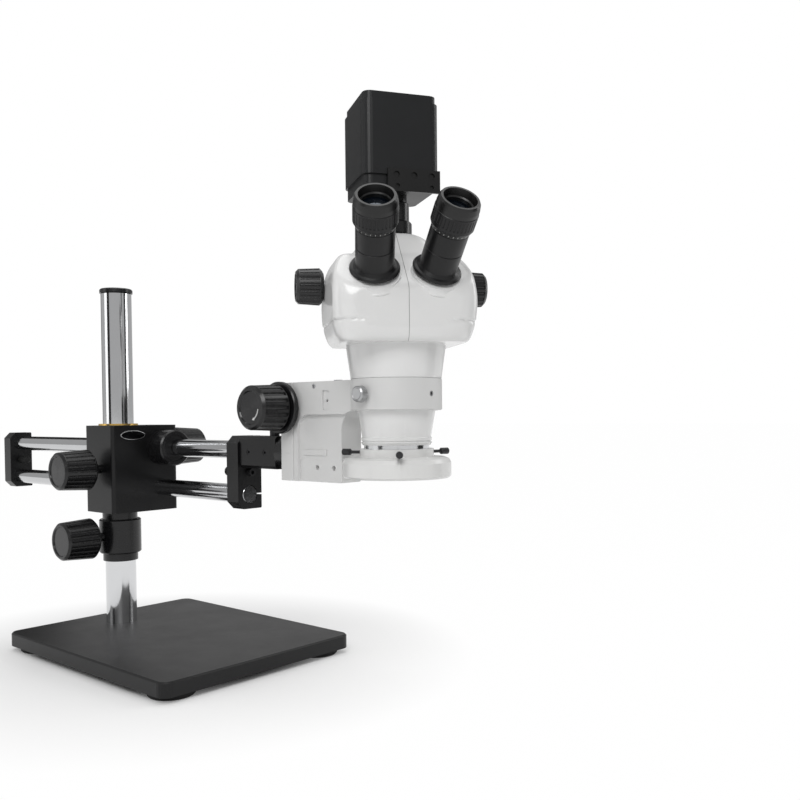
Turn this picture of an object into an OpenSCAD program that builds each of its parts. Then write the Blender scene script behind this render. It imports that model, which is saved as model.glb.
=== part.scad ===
// Trinocular stereo zoom microscope on a ball bearing boom stand.
// Millimetres, +Z up. The origin is the column axis on the surface that the stand rests on.
// +X runs along the boom towards the microscope, so the focus knobs turn about Y.

/* [Base] */
// Length of the base plate along the boom
base_l = 309; // [280:1:400]
// Width of the base plate
base_w = 243; // [200:1:340]
// Thickness of the base plate
base_t = 15; // [12:1:22]
// Radius of the plate's upright corners
base_r = 11; // [4:1:20]
// Bevel round the plate's top edge
base_bevel = 1.6; // [0.5:0.1:3]
// Distance from the column to the middle of the plate along X
base_ahead = 102; // [60:1:120]
// Distance from the column to the middle of the plate along Y
base_aside = 8; // [0:1:30]
// Height of the rubber feet
foot_h = 6; // [4:0.5:10]
// Diameter of the rubber feet
foot_d = 46; // [30:1:60]
// Distance from a foot's rim to the plate's edge
foot_inset = 4; // [2:1:12]

/* [Column] */
// Diameter of the column
column_d = 35; // [30:0.5:40]
// Length of the column above the plate
column_l = 390; // [360:5:460]
// Diameter of the cap on the column
cap_d = 37.6; // [36:0.1:46]
// Height of the cap's rim
cap_h = 5; // [4:0.5:10]
// Height from the plate to the lowest edge of the stop collar
collar_up = 74; // [30:1:110]
// Diameter of the stop collar
collar_d = 48; // [46:1:56]
// Height of the stop collar's thick middle
collar_h = 40; // [34:1:46]
// Diameter of the collar's two narrow steps
collar_step_d = 40; // [39:1:44]
// Height of the collar's two narrow steps
collar_step_h = 9; // [6:1:12]

/* [Carrier] */
// Depth of the carrier block along X
block_x = 60; // [54:1:70]
// Height of the carrier block
block_z = 102; // [96:1:120]
// Wall of the block in front of the column
block_wall = 9; // [8:0.5:14]
// Wall of the block behind the rods
block_back = 12; // [11:0.5:18]
// Radius of the block's upright edges
block_r = 4; // [2:0.5:7]
// Thickness of the brass bush round the column
bush_t = 3; // [2:0.25:4]
// Height of the brass bush's flange on the block
bush_rim = 2; // [1:0.5:3]

/* [Boom] */
// Diameter of the two rods
rod_d = 20; // [18:0.5:22]
// Distance from the column axis to the rods' plane
rod_aside = 39; // [37:0.5:48]
// Height of the upper rod above the block's middle
rod_rise = 24; // [22:0.5:28]
// Length of the two rods
rod_l = 547; // [480:1:640]
// Distance from the column to the outer face of the front end plate
boom_reach = 196; // [160:1:260]
// Thickness of the end plates
plate_t = 19; // [14:0.5:24]
// Width of the end plates
plate_w = 32; // [30:0.5:40]
// Height of the end plates
plate_h = 79; // [76:0.5:96]
// Chamfer on the plates' two front corners
plate_cut = 8; // [4:0.5:10]
// Outer diameter of the upper rod's bearing tube
tube_d = 42; // [38:0.5:43]
// Length by which the bearing tube stands out of the block on each side
tube_out = 30; // [15:1:40]
// Wall of the ball bushings
bearing_t = 5; // [4:0.5:6]
// Length of each ball bushing
bearing_l = 28; // [20:1:30]
// Diameter of the rubber bumpers on the end plates
bumper_d = 10; // [8:0.5:14]
// Length of the rubber bumpers
bumper_l = 20; // [10:1:26]

/* [Focus mount] */
// Length of the pivot block between the end plate and the focus housing
pivot_l = 58; // [50:1:80]
// Height of the pivot block
pivot_h = 34; // [30:0.5:38]
// Width of the pivot block
pivot_w = 27; // [25:0.5:32]
// Diameter of the stub that the microscope tilts on
stub_d = 16; // [14:0.5:18]
// Thickness of the flange behind the focus housing
stub_flange = 13; // [8:0.5:16]
// Width of the focus housing, slider and arm
mount_w = 34; // [30:1:40]
// Depth of the fixed focus housing along X
housing_x = 18.2; // [17:0.1:24]
// Depth of the slider along X
slider_x = 64; // [56:1:66]
// Height of the focus housing and the slider
mount_h = 98; // [90:1:120]
// Height of the arm at the top of the slider
arm_h = 29; // [26:0.5:34]
// Distance from the stub axis up to the arm's top face
arm_rise = 71; // [66:0.5:80]
// Radius of the gusset under the arm
gusset_r = 18; // [10:1:24]
// Travel of the focus each way from the middle
focus_travel = 20; // [10:1:22]
// Largest diameter of the focus knobs
focus_knob_d = 46; // [40:1:54]
// Length of the focus knobs
focus_knob_l = 35; // [26:1:42]
// Diameter of the tension collar
tension_d = 52; // [44:1:56]
// Pitch radius of the pinion
pinion_r = 5; // [4.8:0.1:5.1]

/* [Ring and head] */
// Distance from the slider's back face to the optical axis
axis_ahead = 122.3; // [118:0.1:135]
// Outer diameter of the ring holder
ring_d = 84; // [82:0.5:92]
// Bore of the ring holder
ring_bore = 76; // [72:0.5:77]
// Angle by which the head is turned in the ring
head_turn = -37; // [-90:1:90]
// Width of the head's shell
head_w = 128; // [116:1:150]
// Wall of the head's shell
shell_t = 3; // [2:0.25:4]
// Distance from the ring's top face up to the shell
head_up = 30; // [20:1:34]
// Height of the head's shell
head_h = 104; // [100:1:120]
// Angle between the eyepieces and upright
eye_tilt = 46; // [40:1:50]
// Angle by which each eyepiece splays outwards
eye_splay = 6; // [3:0.5:8]
// Distance between the eyepiece seats across the head
seat_apart = 54; // [50:0.5:58]
// Diameter of the eye tubes
eye_tube_d = 33.5; // [30:0.5:36]
// Diameter of the flanges round the eye tubes
eye_flange_d = 44; // [42:0.5:49]
// Length of each eye tube with its fixed eyepiece barrel
eye_tube_l = 43; // [36:0.5:50]
// Diameter of the turning diopter rings
diopter_d = 38; // [36:0.5:41]
// Length of the diopter rings
diopter_l = 19; // [15:0.5:22]
// Diameter of the eyecups' rims
eyecup_d = 34; // [31:0.5:37]
// Length of the eyecups
eyecup_l = 10; // [8:0.5:14]
// Diameter of the zoom knobs
zoom_knob_d = 34; // [28:0.5:40]
// Length of the zoom knobs
zoom_knob_l = 25; // [18:0.5:30]
// Outer diameter of the ring light
light_d = 100; // [94:0.5:112]
// Height of the ring light
light_h = 19; // [16:0.5:24]
// Angle of the ring light's first thumbscrew from the head's front
light_turn = -9; // [-30:1:30]

/* [Camera] */
// Width of the camera's square sleeve
camera_w = 72; // [60:1:80]
// Height of the camera's sleeve
camera_h = 66; // [56:1:90]
// Wall of the camera's sleeve
camera_t = 3; // [2:0.5:4]
// Diameter of the camera port
port_d = 34; // [30:0.5:38]
// Angle by which the camera is turned from the head
camera_turn = 6; // [-45:1:45]

/* [Fits] */
// Radial clearance of pieces that slide or turn on each other
run_fit = 0.04; // [0.02:0.01:0.08]
// Gap between moving faces that don't guide each other
air = 0.4; // [0.3:0.1:0.8]

/* [Hidden] */
$fn = 64;
eps = 0.01;
base_top = foot_h + base_t;
column_top = base_top + column_l;
collar_z = base_top + collar_up;
collar_top = collar_z + collar_h + 2 * collar_step_h;
block_z0 = collar_top;
block_mid = block_z0 + block_z / 2;
block_top = block_z0 + block_z;
block_y0 = -column_d / 2 - block_wall;
block_y1 = rod_aside + rod_d / 2 + block_back;
rod_hi = block_mid + rod_rise;
rod_lo = block_mid - rod_rise;
rod_x0 = boom_reach - rod_l;
bearing_d = rod_d + 2 * bearing_t;
bumper_z = block_mid;
knob_d = 47;
knob_l = 44;
knob_gap = 8;
stud_d = 10;
column_bolt_d = 12;
bolt_sink = 8;
column_sink = 3;
collar_mid = collar_z + collar_step_h + collar_h / 2;
clamp_knob_z = block_mid;
lock_knob_z = rod_hi;
bumper_screw_d = 5;
plate_screw_d = 4;
plate_screw_l = 26;
plate_screw_deep = 4.2;
pivot_screw_d = 6;

pivot_x0 = boom_reach;
pivot_x1 = pivot_x0 + pivot_l;
pivot_z1 = rod_hi + plate_h / 2 - rod_rise;
pivot_z = pivot_z1 - pivot_h / 2;
pivot_screw_x = [pivot_x0 + 15, pivot_x0 + 41];
pivot_top_x = pivot_x1 - 16;
pivot_top_deep = 6;
stub_in = 46;
mount_gap = 1.2;
housing_x0 = pivot_x1 + stub_flange;
housing_x1 = housing_x0 + housing_x;
slider_x0 = housing_x1 + mount_gap;
slider_x1 = slider_x0 + slider_x;
arm_z1 = pivot_z + arm_rise;
arm_z0 = arm_z1 - arm_h;
mount_z0 = arm_z1 - mount_h;
rail_w = 20;
rail_in = 8;
rack_w = 8;
rack_t = 4;
tooth_h = 1.6;
tooth_n = 15;
tooth_pitch = 2 * PI * pinion_r / tooth_n;
shaft_d = 8;
pinion_x = slider_x0 - rail_in + tooth_h / 2 - pinion_r;
pinion_z = arm_z1 - 25;

axis_x = slider_x0 + axis_ahead;
axis_y = rod_aside;
ring_z0 = arm_z0;
ring_z1 = arm_z1;
ring_mid = (ring_z0 + ring_z1) / 2;
ring_stud_d = 6;
arm_screw_d = 5;
arm_screw_sink = 3.6;
side_screw_x = slider_x0 + 30;
side_screw_z = arm_z1 - 4.5;
top_screw_x = slider_x0 + 47;
top_screw_deep = 12;
recess = 3.6;
slot_in = 1.6;
focus_shaft_out = 30;
tension_l = 6;
tension_gap = 4;
knob_off = mount_w / 2 + tension_gap + tension_l + air;
head_z0 = ring_z1 + head_up;
head_z1 = head_z0 + head_h;
shoulder_z = head_z0 + 48;
shoulder_x = 57;
zoom_z = head_z0 + 55;
zoom_x = -18;
zoom_shaft_d = 8;
zoom_boss_d = 18;
nose_d = 60;
nose_bore = 50;
nose_seat_d = 52;
nose_seat_deep = 7;
lip_z = ring_z0 - 31.5;
nose_z0 = lip_z - 18;
light_collar_z = lip_z - 3.5;
light_z1 = light_collar_z - 7.5;
light_z0 = light_z1 - light_h;
light_collar_d = 68;
screw_z = (light_z1 + light_collar_z) / 2;
screw_reach = 57.8;

seat_x = 45;
seat_z = shoulder_z + (shoulder_x - seat_x);
seat_lift = 3.4;
seat_gap = 0.3;
seat_d = eye_flange_d + 4;
ipd_arm = 24;
ipd_swing = 9;
ipd_pin_d = 7;
neck_d = 26;
slot_d = neck_d + 2 * ipd_arm * sin(ipd_swing) + 2 * air;
arm_plate_t = 4;
arm_plate_z = -8;
seam = 0.3;
guide_y = 37;
guide_d = 5;
carriage_z = head_z0 + 16;
port_x = -18;
port_rim_h = 12;
port_h = 29;
mount_d = 30;
camera_z0 = head_z1 + 47;
camera_z1 = camera_z0 + camera_h;
camera_inset = 2;
camera_base_h = 11;
camera_lid_h = 7;
camera_r = 9;

zoom_gear_r = 6;
zoom_teeth = 16;
zoom_pitch = 2 * PI * zoom_gear_r / zoom_teeth;
lens_d = 24;
screw_angles = [0, -120, 120];
thumb_d = 3;
led_r0 = 33;
led_r1 = 46.5;

// An upright arc's points, from angle a0 to a1 round (x, y).
function arc(x, y, r, a0, a1, n = 6) = [for (i = [0:n]) let (a = a0 + (a1 - a0) * i / n)
  [x + r * cos(a), y + r * sin(a)]];

// A rounded rectangle's outline, centred.
function round_rect(w, h, r) = concat(arc(w / 2 - r, h / 2 - r, r, 0, 90),
  arc(-w / 2 + r, h / 2 - r, r, 90, 180), arc(-w / 2 + r, -h / 2 + r, r, 180, 270),
  arc(w / 2 - r, -h / 2 + r, r, 270, 360));

// Moves the children to an axis that runs along +X, -Y or +Y from a point.
module along_x(p) { translate(p) rotate([0, 90, 0]) children(); }
module along_front(p) { translate(p) rotate([90, 0, 0]) children(); }
module along_back(p) { translate(p) rotate([-90, 0, 0]) children(); }

// A turned piece from its half profile of [radius, height] points.
module turned(points) { rotate_extrude() polygon(points); }

// A tube from height z0 to z1.
module tube(d, bore, z0, z1) {
  difference() {
    translate([0, 0, z0]) cylinder(d = d, h = z1 - z0);
    translate([0, 0, z0 - 1]) cylinder(d = bore, h = z1 - z0 + 2);
  }
}

// A fluted hand knob that stands on the plane z = 0, with a dished disc in its face.
// It narrows by taper towards the face, and its flutes lean with it.
module fluted_knob(d, l, flutes, flute_d, neck_d, neck_l, taper = 0.6) {
  bevel = min(2.4, d * 0.08);
  disc_in = bevel / 2;
  disc_d = d * 0.72;
  r = d / 2;
  difference() {
    turned([[0, 0], [neck_d / 2, 0], [neck_d / 2, neck_l], [r - bevel, neck_l],
      [r, neck_l + bevel], [r - taper, l - bevel], [r - bevel - taper, l],
      [disc_d / 2, l], [disc_d / 2 - 1, l - disc_in], [0, l - disc_in]]);
    for (i = [0:flutes - 1]) rotate([0, 0, 360 * i / flutes])
      translate([r + flute_d * 0.1, 0, neck_l + 1.3 * bevel]) rotate([0, -atan(taper / l), 0])
        cylinder(d = flute_d, h = l - neck_l - 2.6 * bevel);
  }
}

// A socket head screw whose head stands on z = 0 and whose shank runs down.
module cap_screw(d, shank) {
  difference() {
    union() {
      cylinder(d = d * 1.7, h = d);
      translate([0, 0, -shank]) cylinder(d = d, h = shank + eps);
    }
    translate([0, 0, d * 0.45]) cylinder(d = d, h = d, $fn = 6);
  }
}

// Base and column.
module base_outline(inset) { polygon(round_rect(base_l - 2 * inset, base_w - 2 * inset, base_r - inset)); }
module base_plate() {
  color("#1b1b1c") difference() {
    translate([base_ahead, base_aside, 0]) {
      translate([0, 0, foot_h]) linear_extrude(base_t - base_bevel) base_outline(0);
      hull() {
        translate([0, 0, base_top - base_bevel - eps]) linear_extrude(eps) base_outline(0);
        translate([0, 0, base_top - eps]) linear_extrude(eps) base_outline(base_bevel);
      }
    }
    translate([0, 0, foot_h - 1]) cylinder(d = column_bolt_d + 1, h = base_t + 2);
    translate([0, 0, foot_h - 1]) cylinder(d = column_bolt_d * 2.4, h = bolt_sink + 1);
    translate([0, 0, base_top - column_sink]) cylinder(d = column_d + 2 * run_fit, h = column_sink + 1);
  }
}
module feet() {
  dx = base_l / 2 - foot_inset - foot_d / 2;
  dy = base_w / 2 - foot_inset - foot_d / 2;
  r = foot_d / 2;
  color("#101010") for (sx = [-1, 1], sy = [-1, 1])
    translate([base_ahead + sx * dx, base_aside + sy * dy, 0])
      turned([[0, 0], [r - 1.5, 0], [r, 1.5], [r, foot_h], [0, foot_h]]);
}
module column() {
  bevel = 1;
  r = column_d / 2;
  l = column_l + column_sink;
  color("#c9ccd0") difference() {
    translate([0, 0, column_top - l]) turned([[0, 0], [r, 0], [r, l - bevel], [r - bevel, l], [0, l]]);
    translate([0, 0, base_top - column_sink - 1]) cylinder(d = column_bolt_d, h = 34);
    translate([0, 0, column_top - 12]) cylinder(d = column_d - 12, h = 13);
  }
}
module column_cap() {
  rp = column_d / 2 - 6 - run_fit;
  rc = cap_d / 2;
  color("#161617") translate([0, 0, column_top])
    turned([[0, -10], [rp, -10], [rp, 0], [rc, 0], [rc, cap_h - 1.2], [rc - 1.2, cap_h], [0, cap_h]]);
}
module column_bolt() {
  head = bolt_sink - 1;
  color("#8d9095") translate([0, 0, foot_h]) difference() {
    union() {
      translate([0, 0, bolt_sink - head]) cylinder(d = column_bolt_d * 2, h = head);
      translate([0, 0, bolt_sink - eps]) cylinder(d = column_bolt_d - 0.1, h = base_t - bolt_sink + 26);
    }
    translate([0, 0, bolt_sink - head - 1]) cylinder(d = column_bolt_d, h = 5, $fn = 6);
  }
}

// Stop collar and its knob.
module stop_collar() {
  s = collar_step_h;
  b = 1.2;
  r = collar_d / 2;
  rs = collar_step_d / 2;
  ri = column_d / 2 + run_fit;
  color("#19191a") difference() {
    translate([0, 0, collar_z]) turned([[ri, 0], [rs, 0], [rs, s], [r - b, s], [r, s + b],
      [r, s + collar_h - b], [r - b, s + collar_h], [rs, s + collar_h],
      [rs, 2 * s + collar_h], [ri, 2 * s + collar_h]]);
    along_front([0, 0, collar_mid]) cylinder(d = stud_d + 2 * run_fit, h = collar_d);
  }
}
module side_knob() { fluted_knob(knob_d, knob_l, 24, 3.2, 26, 5, 2); }
module collar_knob() {
  y = -collar_d / 2 - knob_gap;
  color("#141415") along_front([0, y, collar_mid]) side_knob();
  color("#b9bcc0") along_front([0, -column_d / 2 - air, collar_mid])
    cylinder(d = stud_d, h = knob_gap + (collar_d - column_d) / 2 - air + eps);
}

// Carrier block with its bush, bearings and knobs.
module block_outline(inset) {
  w = block_y1 - block_y0;
  translate([0, block_y0 + w / 2]) polygon(round_rect(block_x - 2 * inset, w - 2 * inset, block_r));
}
module carrier_block() {
  color("#1c1c1d") difference() {
    translate([0, 0, block_z0]) linear_extrude(block_z) block_outline(0);
    translate([0, 0, block_z0 - 1]) cylinder(d = column_d + 2 * bush_t, h = block_z + 2);
    along_x([-block_x, rod_aside, rod_hi]) cylinder(d = tube_d, h = 2 * block_x);
    along_x([-block_x, rod_aside, rod_lo]) cylinder(d = bearing_d, h = 2 * block_x);
    along_front([0, 0, clamp_knob_z]) cylinder(d = stud_d + 2 * run_fit, h = block_x);
    along_back([0, rod_aside + tube_d / 2 - 3, lock_knob_z])
      cylinder(d = stud_d + 2 * run_fit, h = block_x);
  }
}
module column_bush() {
  ri = column_d / 2 + run_fit;
  ro = column_d / 2 + bush_t;
  color("#b98b3c") difference() {
    translate([0, 0, block_z0]) turned([[ri, 0], [ro, 0], [ro, block_z], [ro + 2, block_z],
      [ro + 2, block_z + bush_rim], [ri, block_z + bush_rim]]);
    along_front([0, 0, clamp_knob_z]) cylinder(d = stud_d + 2 * run_fit, h = block_x);
  }
}
module bearing_tube() {
  l = block_x + 2 * tube_out;
  ro = tube_d / 2;
  ri = bearing_d / 2;
  color("#19191a") difference() {
    along_x([-l / 2, rod_aside, rod_hi])
      turned([[ri, 0], [ro - 1.5, 0], [ro, 1.5], [ro, l - 1.5], [ro - 1.5, l], [ri, l]]);
    along_back([0, rod_aside, lock_knob_z]) cylinder(d = stud_d + 2 * run_fit, h = tube_d);
    translate([0, 0, block_z0 - 1]) cylinder(d = column_d + 2 * bush_t, h = block_z + 2);
  }
}
module bushing() { tube(bearing_d, rod_d + 2 * run_fit, 0, bearing_l); }
module ball_bushings() {
  hi = block_x / 2 + tube_out - 1 - bearing_l;
  lo = block_x / 2 - bearing_l;
  color("#a9adb2") {
    for (x = [-hi - bearing_l, hi]) along_x([x, rod_aside, rod_hi]) bushing();
    for (x = [-lo - bearing_l, lo]) along_x([x, rod_aside, rod_lo]) bushing();
  }
}
module clamp_knob() {
  y = block_y0 - knob_gap;
  tip = column_d / 2 + air;
  color("#141415") along_front([0, y, clamp_knob_z]) side_knob();
  color("#b9bcc0") along_front([0, -tip, clamp_knob_z]) cylinder(d = stud_d, h = -y - tip + eps);
}
module rod_lock_knob() {
  y = block_y1 + knob_gap;
  tip = rod_aside + rod_d / 2 + air;
  color("#141415") along_back([0, y, lock_knob_z]) side_knob();
  color("#b9bcc0") along_back([0, tip, lock_knob_z]) cylinder(d = stud_d, h = y - tip + eps);
}

// Boom: two rods, two end plates, their screws and bumpers, and the pivot block.
module rod(z) {
  b = 0.8;
  color("#c9ccd0") along_x([rod_x0, rod_aside, z]) turned([[0, 0], [rod_d / 2 - b, 0], [rod_d / 2, b],
    [rod_d / 2, rod_l - b], [rod_d / 2 - b, rod_l], [0, rod_l]]);
}
module upper_rod() { rod(rod_hi); }
module lower_rod() { rod(rod_lo); }
module end_plate(x) {
  y0 = rod_aside - plate_w / 2;
  y1 = rod_aside + plate_w / 2;
  z0 = block_mid - plate_h / 2;
  z1 = block_mid + plate_h / 2;
  slit = 1.6;
  color("#19191a") difference() {
    translate([x, 0, 0]) rotate([90, 0, 90]) linear_extrude(plate_t)
      polygon([[y0, z0 + plate_cut], [y0 + plate_cut, z0], [y1 - 1, z0], [y1, z0 + 1],
        [y1, z1 - 1], [y1 - 1, z1], [y0 + plate_cut, z1], [y0, z1 - plate_cut]]);
    for (z = [rod_hi, rod_lo]) {
      along_x([x - 1, rod_aside, z]) cylinder(d = rod_d, h = plate_t + 2);
      translate([x - 1, rod_aside, z - slit / 2]) cube([plate_t + 2, plate_w, slit]);
    }
    along_x([x - 1, rod_aside, bumper_z]) cylinder(d = bumper_screw_d, h = plate_t + 2);
    for (s = [-1, 1]) plate_screw_place(x, s) {
      translate([0, 0, -plate_screw_l]) cylinder(d = plate_screw_d, h = plate_screw_l);
      translate([0, 0, -plate_screw_deep])
        cylinder(d = plate_screw_d * 1.7 + air, h = plate_screw_deep + 1);
    }
  }
}
module plate_screw_place(x, side) {
  y = rod_aside + (rod_d + plate_screw_d + 1) / 2;
  translate([x + plate_t / 2, y, block_mid + side * plate_h / 2])
    rotate([side > 0 ? 0 : 180, 0, 0]) children();
}
module rear_end_plate() { end_plate(rod_x0); }
module front_end_plate() { end_plate(boom_reach - plate_t); }
module boom_screws() {
  color("#85888c") {
    for (x = [rod_x0, boom_reach - plate_t], s = [-1, 1]) plate_screw_place(x, s)
      translate([0, 0, -plate_screw_deep]) cap_screw(plate_screw_d, plate_screw_l - plate_screw_deep);
    along_x([rod_x0, rod_aside, bumper_z]) rotate([180, 0, 0]) cap_screw(bumper_screw_d, plate_t);
    along_x([boom_reach, rod_aside, block_mid]) cap_screw(bumper_screw_d, plate_t);
    for (x = pivot_screw_x) along_front([x, rod_aside - stub_d / 2 - air, pivot_z])
      set_screw(pivot_screw_d, (pivot_w - stub_d) / 2 - air - 0.5);
    translate([pivot_top_x, rod_aside, pivot_z1]) cap_screw(pivot_screw_d, pivot_top_deep);
  }
}
module bumpers() {
  color("#101010") {
    along_x([rod_x0 + plate_t, rod_aside, bumper_z]) bumper();
    along_x([boom_reach - plate_t, rod_aside, bumper_z]) rotate([180, 0, 0]) bumper();
  }
}
module bumper() {
  r = bumper_d / 2;
  turned([[0, 0], [r, 0], [r, bumper_l - 1.5], [r - 1.5, bumper_l], [0, bumper_l]]);
}
module pivot_block() {
  c = 3;
  w = pivot_w / 2;
  h = pivot_h / 2;
  color("#19191a") difference() {
    translate([pivot_x0, rod_aside, pivot_z]) rotate([90, 0, 90]) linear_extrude(pivot_l)
      polygon([[-w, -h + c], [-w + c, -h], [w - c, -h], [w, -h + c],
        [w, h - c], [w - c, h], [-w + c, h], [-w, h - c]]);
    along_x([pivot_x1 - stub_in - 1, rod_aside, pivot_z])
      cylinder(d = stub_d + 2 * run_fit, h = stub_in + 2);
    along_x([pivot_x0 - 1, rod_aside, block_mid])
      cylinder(d = bumper_screw_d * 1.7 + air, h = bumper_screw_d + 1.5);
    for (x = pivot_screw_x) along_front([x, rod_aside, pivot_z]) cylinder(d = pivot_screw_d, h = pivot_w);
    translate([pivot_top_x, rod_aside, pivot_z1 - pivot_top_deep])
      cylinder(d = pivot_screw_d, h = pivot_top_deep + 1);
  }
}
// Focus mount: tilt stub, fixed housing, pinion with its knobs, slider with its rack.
module tilt_stub() {
  r = stub_d / 2;
  rf = pivot_h / 2;
  l = stub_in - 1;
  color("#232324") along_x([pivot_x1 - l, rod_aside, pivot_z])
    turned([[0, 0], [r - 1, 0], [r, 1], [r, l + air], [rf - 1, l + air], [rf, l + air + 1],
      [rf, l + stub_flange], [0, l + stub_flange]]);
}
module rail_shape(gap) {
  w = rail_w / 2;
  t = 3;
  polygon([[-rail_in - gap, -w - t - gap], [-rail_in - gap, w + t + gap], [-rail_in + 4 + gap, w + t + gap],
    [1, w + gap - 1], [1, -w - gap + 1], [-rail_in + 4 + gap, -w - t - gap]]);
}
module focus_housing() {
  color("#e9e9e8") difference() {
    translate([housing_x0, rod_aside, mount_z0]) linear_extrude(mount_h)
      translate([housing_x / 2, 0]) polygon(round_rect(housing_x, mount_w, 1.2));
    translate([slider_x0, rod_aside, mount_z0 - 1]) linear_extrude(mount_h + 2) rail_shape(run_fit);
    along_front([pinion_x, rod_aside + mount_w, pinion_z])
      cylinder(d = shaft_d + 2 * run_fit, h = 2 * mount_w);
    along_front([pinion_x, rod_aside + rack_w / 2 + 1.5, pinion_z])
      cylinder(r = pinion_r + tooth_h / 2 + 0.6, h = rack_w + 3);
    translate([housing_x0 + housing_x * 0.4, rod_aside - mount_w / 2 - 1, pivot_z])
      cube([housing_x, 1.4, 0.8]);
  }
}
// The outline of a spur gear with n teeth of height h on pitch radius r.
function gear_points(n, r, h) = [for (i = [0:n - 1], k = [0:3]) let (
  half = [0.22, 0.09, -0.09, -0.22][k] * 360 / n,
  a = 360 * i / n - half,
  rr = r + (k == 0 || k == 3 ? -h / 2 : h / 2))
  [rr * cos(a), rr * sin(a)]];
// The gap between two rack teeth, open towards -X.
module rack_gap(pitch) {
  polygon([[-1, -pitch * 0.42], [tooth_h + 0.3, -pitch * 0.28],
    [tooth_h + 0.3, pitch * 0.28], [-1, pitch * 0.42]]);
}
module pinion_shaft() {
  l = mount_w + 2 * focus_shaft_out;
  color("#8d9095") {
    along_front([pinion_x, rod_aside + l / 2, pinion_z]) cylinder(d = shaft_d, h = l);
    along_front([pinion_x, rod_aside + rack_w / 2, pinion_z]) linear_extrude(rack_w)
      polygon(gear_points(tooth_n, pinion_r, tooth_h));
  }
}
module focus_knob(l) {
  difference() {
    fluted_knob(focus_knob_d, l, 20, 4, 30, 1.5, 1.2);
    translate([0, 0, -1]) cylinder(d = shaft_d, h = focus_shaft_out - tension_gap - tension_l - air + 1);
  }
}
module focus_knob_left() {
  color("#141415") along_front([pinion_x, rod_aside - knob_off, pinion_z]) focus_knob(focus_knob_l);
}
module focus_knob_right() {
  color("#141415") along_back([pinion_x, rod_aside + knob_off, pinion_z]) focus_knob(focus_knob_l);
}
module tension_collar() {
  r = tension_d / 2;
  ri = shaft_d / 2 + run_fit;
  color("#19191a") along_front([pinion_x, rod_aside - mount_w / 2 - air, pinion_z])
    turned([[ri, 0], [15, 0], [15, tension_gap], [r - 1, tension_gap], [r, tension_gap + 1],
      [r, tension_gap + tension_l - 1], [r - 1, tension_gap + tension_l], [ri, tension_gap + tension_l]]);
}
module slider_outline() {
  r = gusset_r;
  polygon(concat([[slider_x0, mount_z0], [slider_x1 - 2, mount_z0], [slider_x1, mount_z0 + 2]],
    [for (i = [0:8]) let (a = 180 - i * 90 / 8) [slider_x1 + r + r * cos(a), arm_z0 - r + r * sin(a)]],
    [[axis_x, arm_z0], [axis_x, arm_z1], [slider_x0, arm_z1]]));
}
module slider_recess() {
  r = 14;
  x0 = slider_x0 + 6;
  x1 = slider_x1 + gusset_r;
  z1 = arm_z0 - 3;
  polygon(concat([[x0, mount_z0 - 1], [x1, mount_z0 - 1], [x1, z1]],
    [for (i = [0:6]) let (a = 90 + i * 15) [x0 + r + r * cos(a), z1 - r + r * sin(a)]]));
}
module each_side() { for (s = [0, 1]) translate([0, rod_aside, 0]) mirror([0, s, 0]) children(); }
module focus_slider() {
  w = mount_w / 2;
  color("#e9e9e8") difference() {
    union() {
      translate([0, rod_aside + w, 0]) rotate([90, 0, 0]) linear_extrude(mount_w) slider_outline();
      translate([slider_x0, rod_aside, mount_z0]) linear_extrude(mount_h) rail_shape(0);
    }
    each_side() difference() {
      translate([0, -w + recess, 0]) rotate([90, 0, 0]) linear_extrude(w) slider_recess();
      translate([slider_x0 + 12, -w + recess - 0.9, pivot_z - 1]) cube([32, w, 5.5]);
    }
    each_side() {
      translate([slider_x0 + 42, -w - 1, arm_z0 + 1]) cube([9, slot_in + 1, arm_h - 10]);
      along_front([slider_x0 + 47, -w / 2, arm_z0 + 10]) cylinder(d = 3, h = w);
      for (x = [30, 53]) along_front([slider_x0 + x, -w / 2, mount_z0 + 14]) cylinder(d = 5, h = w);
    }
    translate([slider_x0 - rail_in - 1, rod_aside - rack_w / 2, mount_z0 - 1])
      cube([rack_t + 1, rack_w, mount_h + 2]);
    along_front([side_screw_x, rod_aside - w + 4, side_screw_z]) cylinder(d = arm_screw_d, h = 6);
    translate([top_screw_x, rod_aside, arm_z1 - top_screw_deep])
      cylinder(d = arm_screw_d, h = top_screw_deep + 1);
    translate([top_screw_x, rod_aside, arm_z1 - arm_screw_sink])
      cylinder(d = arm_screw_d * 1.7 + air, h = arm_screw_d);
    translate([axis_x, axis_y, arm_z0 - gusset_r - 1]) cylinder(d = ring_d, h = arm_h + gusset_r + 2);
  }
}
module focus_rack() {
  n = floor(mount_h / tooth_pitch) - 1;
  x = slider_x0 - rail_in;
  color("#8d9095") difference() {
    translate([x, rod_aside - rack_w / 2, mount_z0]) cube([rack_t, rack_w, mount_h]);
    translate([0, rod_aside + rack_w, 0]) rotate([90, 0, 0]) linear_extrude(2 * rack_w)
      for (i = [-floor((pinion_z - mount_z0) / tooth_pitch):n])
        translate([x, pinion_z + i * tooth_pitch]) rack_gap(tooth_pitch);
  }
}
module ring_holder() {
  ri = ring_bore / 2;
  ro = ring_d / 2;
  b = 1;
  color("#e9e9e8") difference() {
    translate([axis_x, axis_y, ring_z0])
      turned([[ri, 0], [ro - b, 0], [ro, b], [ro, arm_h - b], [ro - b, arm_h], [ri, arm_h]]);
    along_front([axis_x, axis_y - ri + 2, ring_mid]) cylinder(d = ring_stud_d + 2 * run_fit, h = 10);
    along_x([axis_x + ri - 2, axis_y, ring_mid]) cylinder(d = arm_screw_d, h = 10);
  }
}
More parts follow.
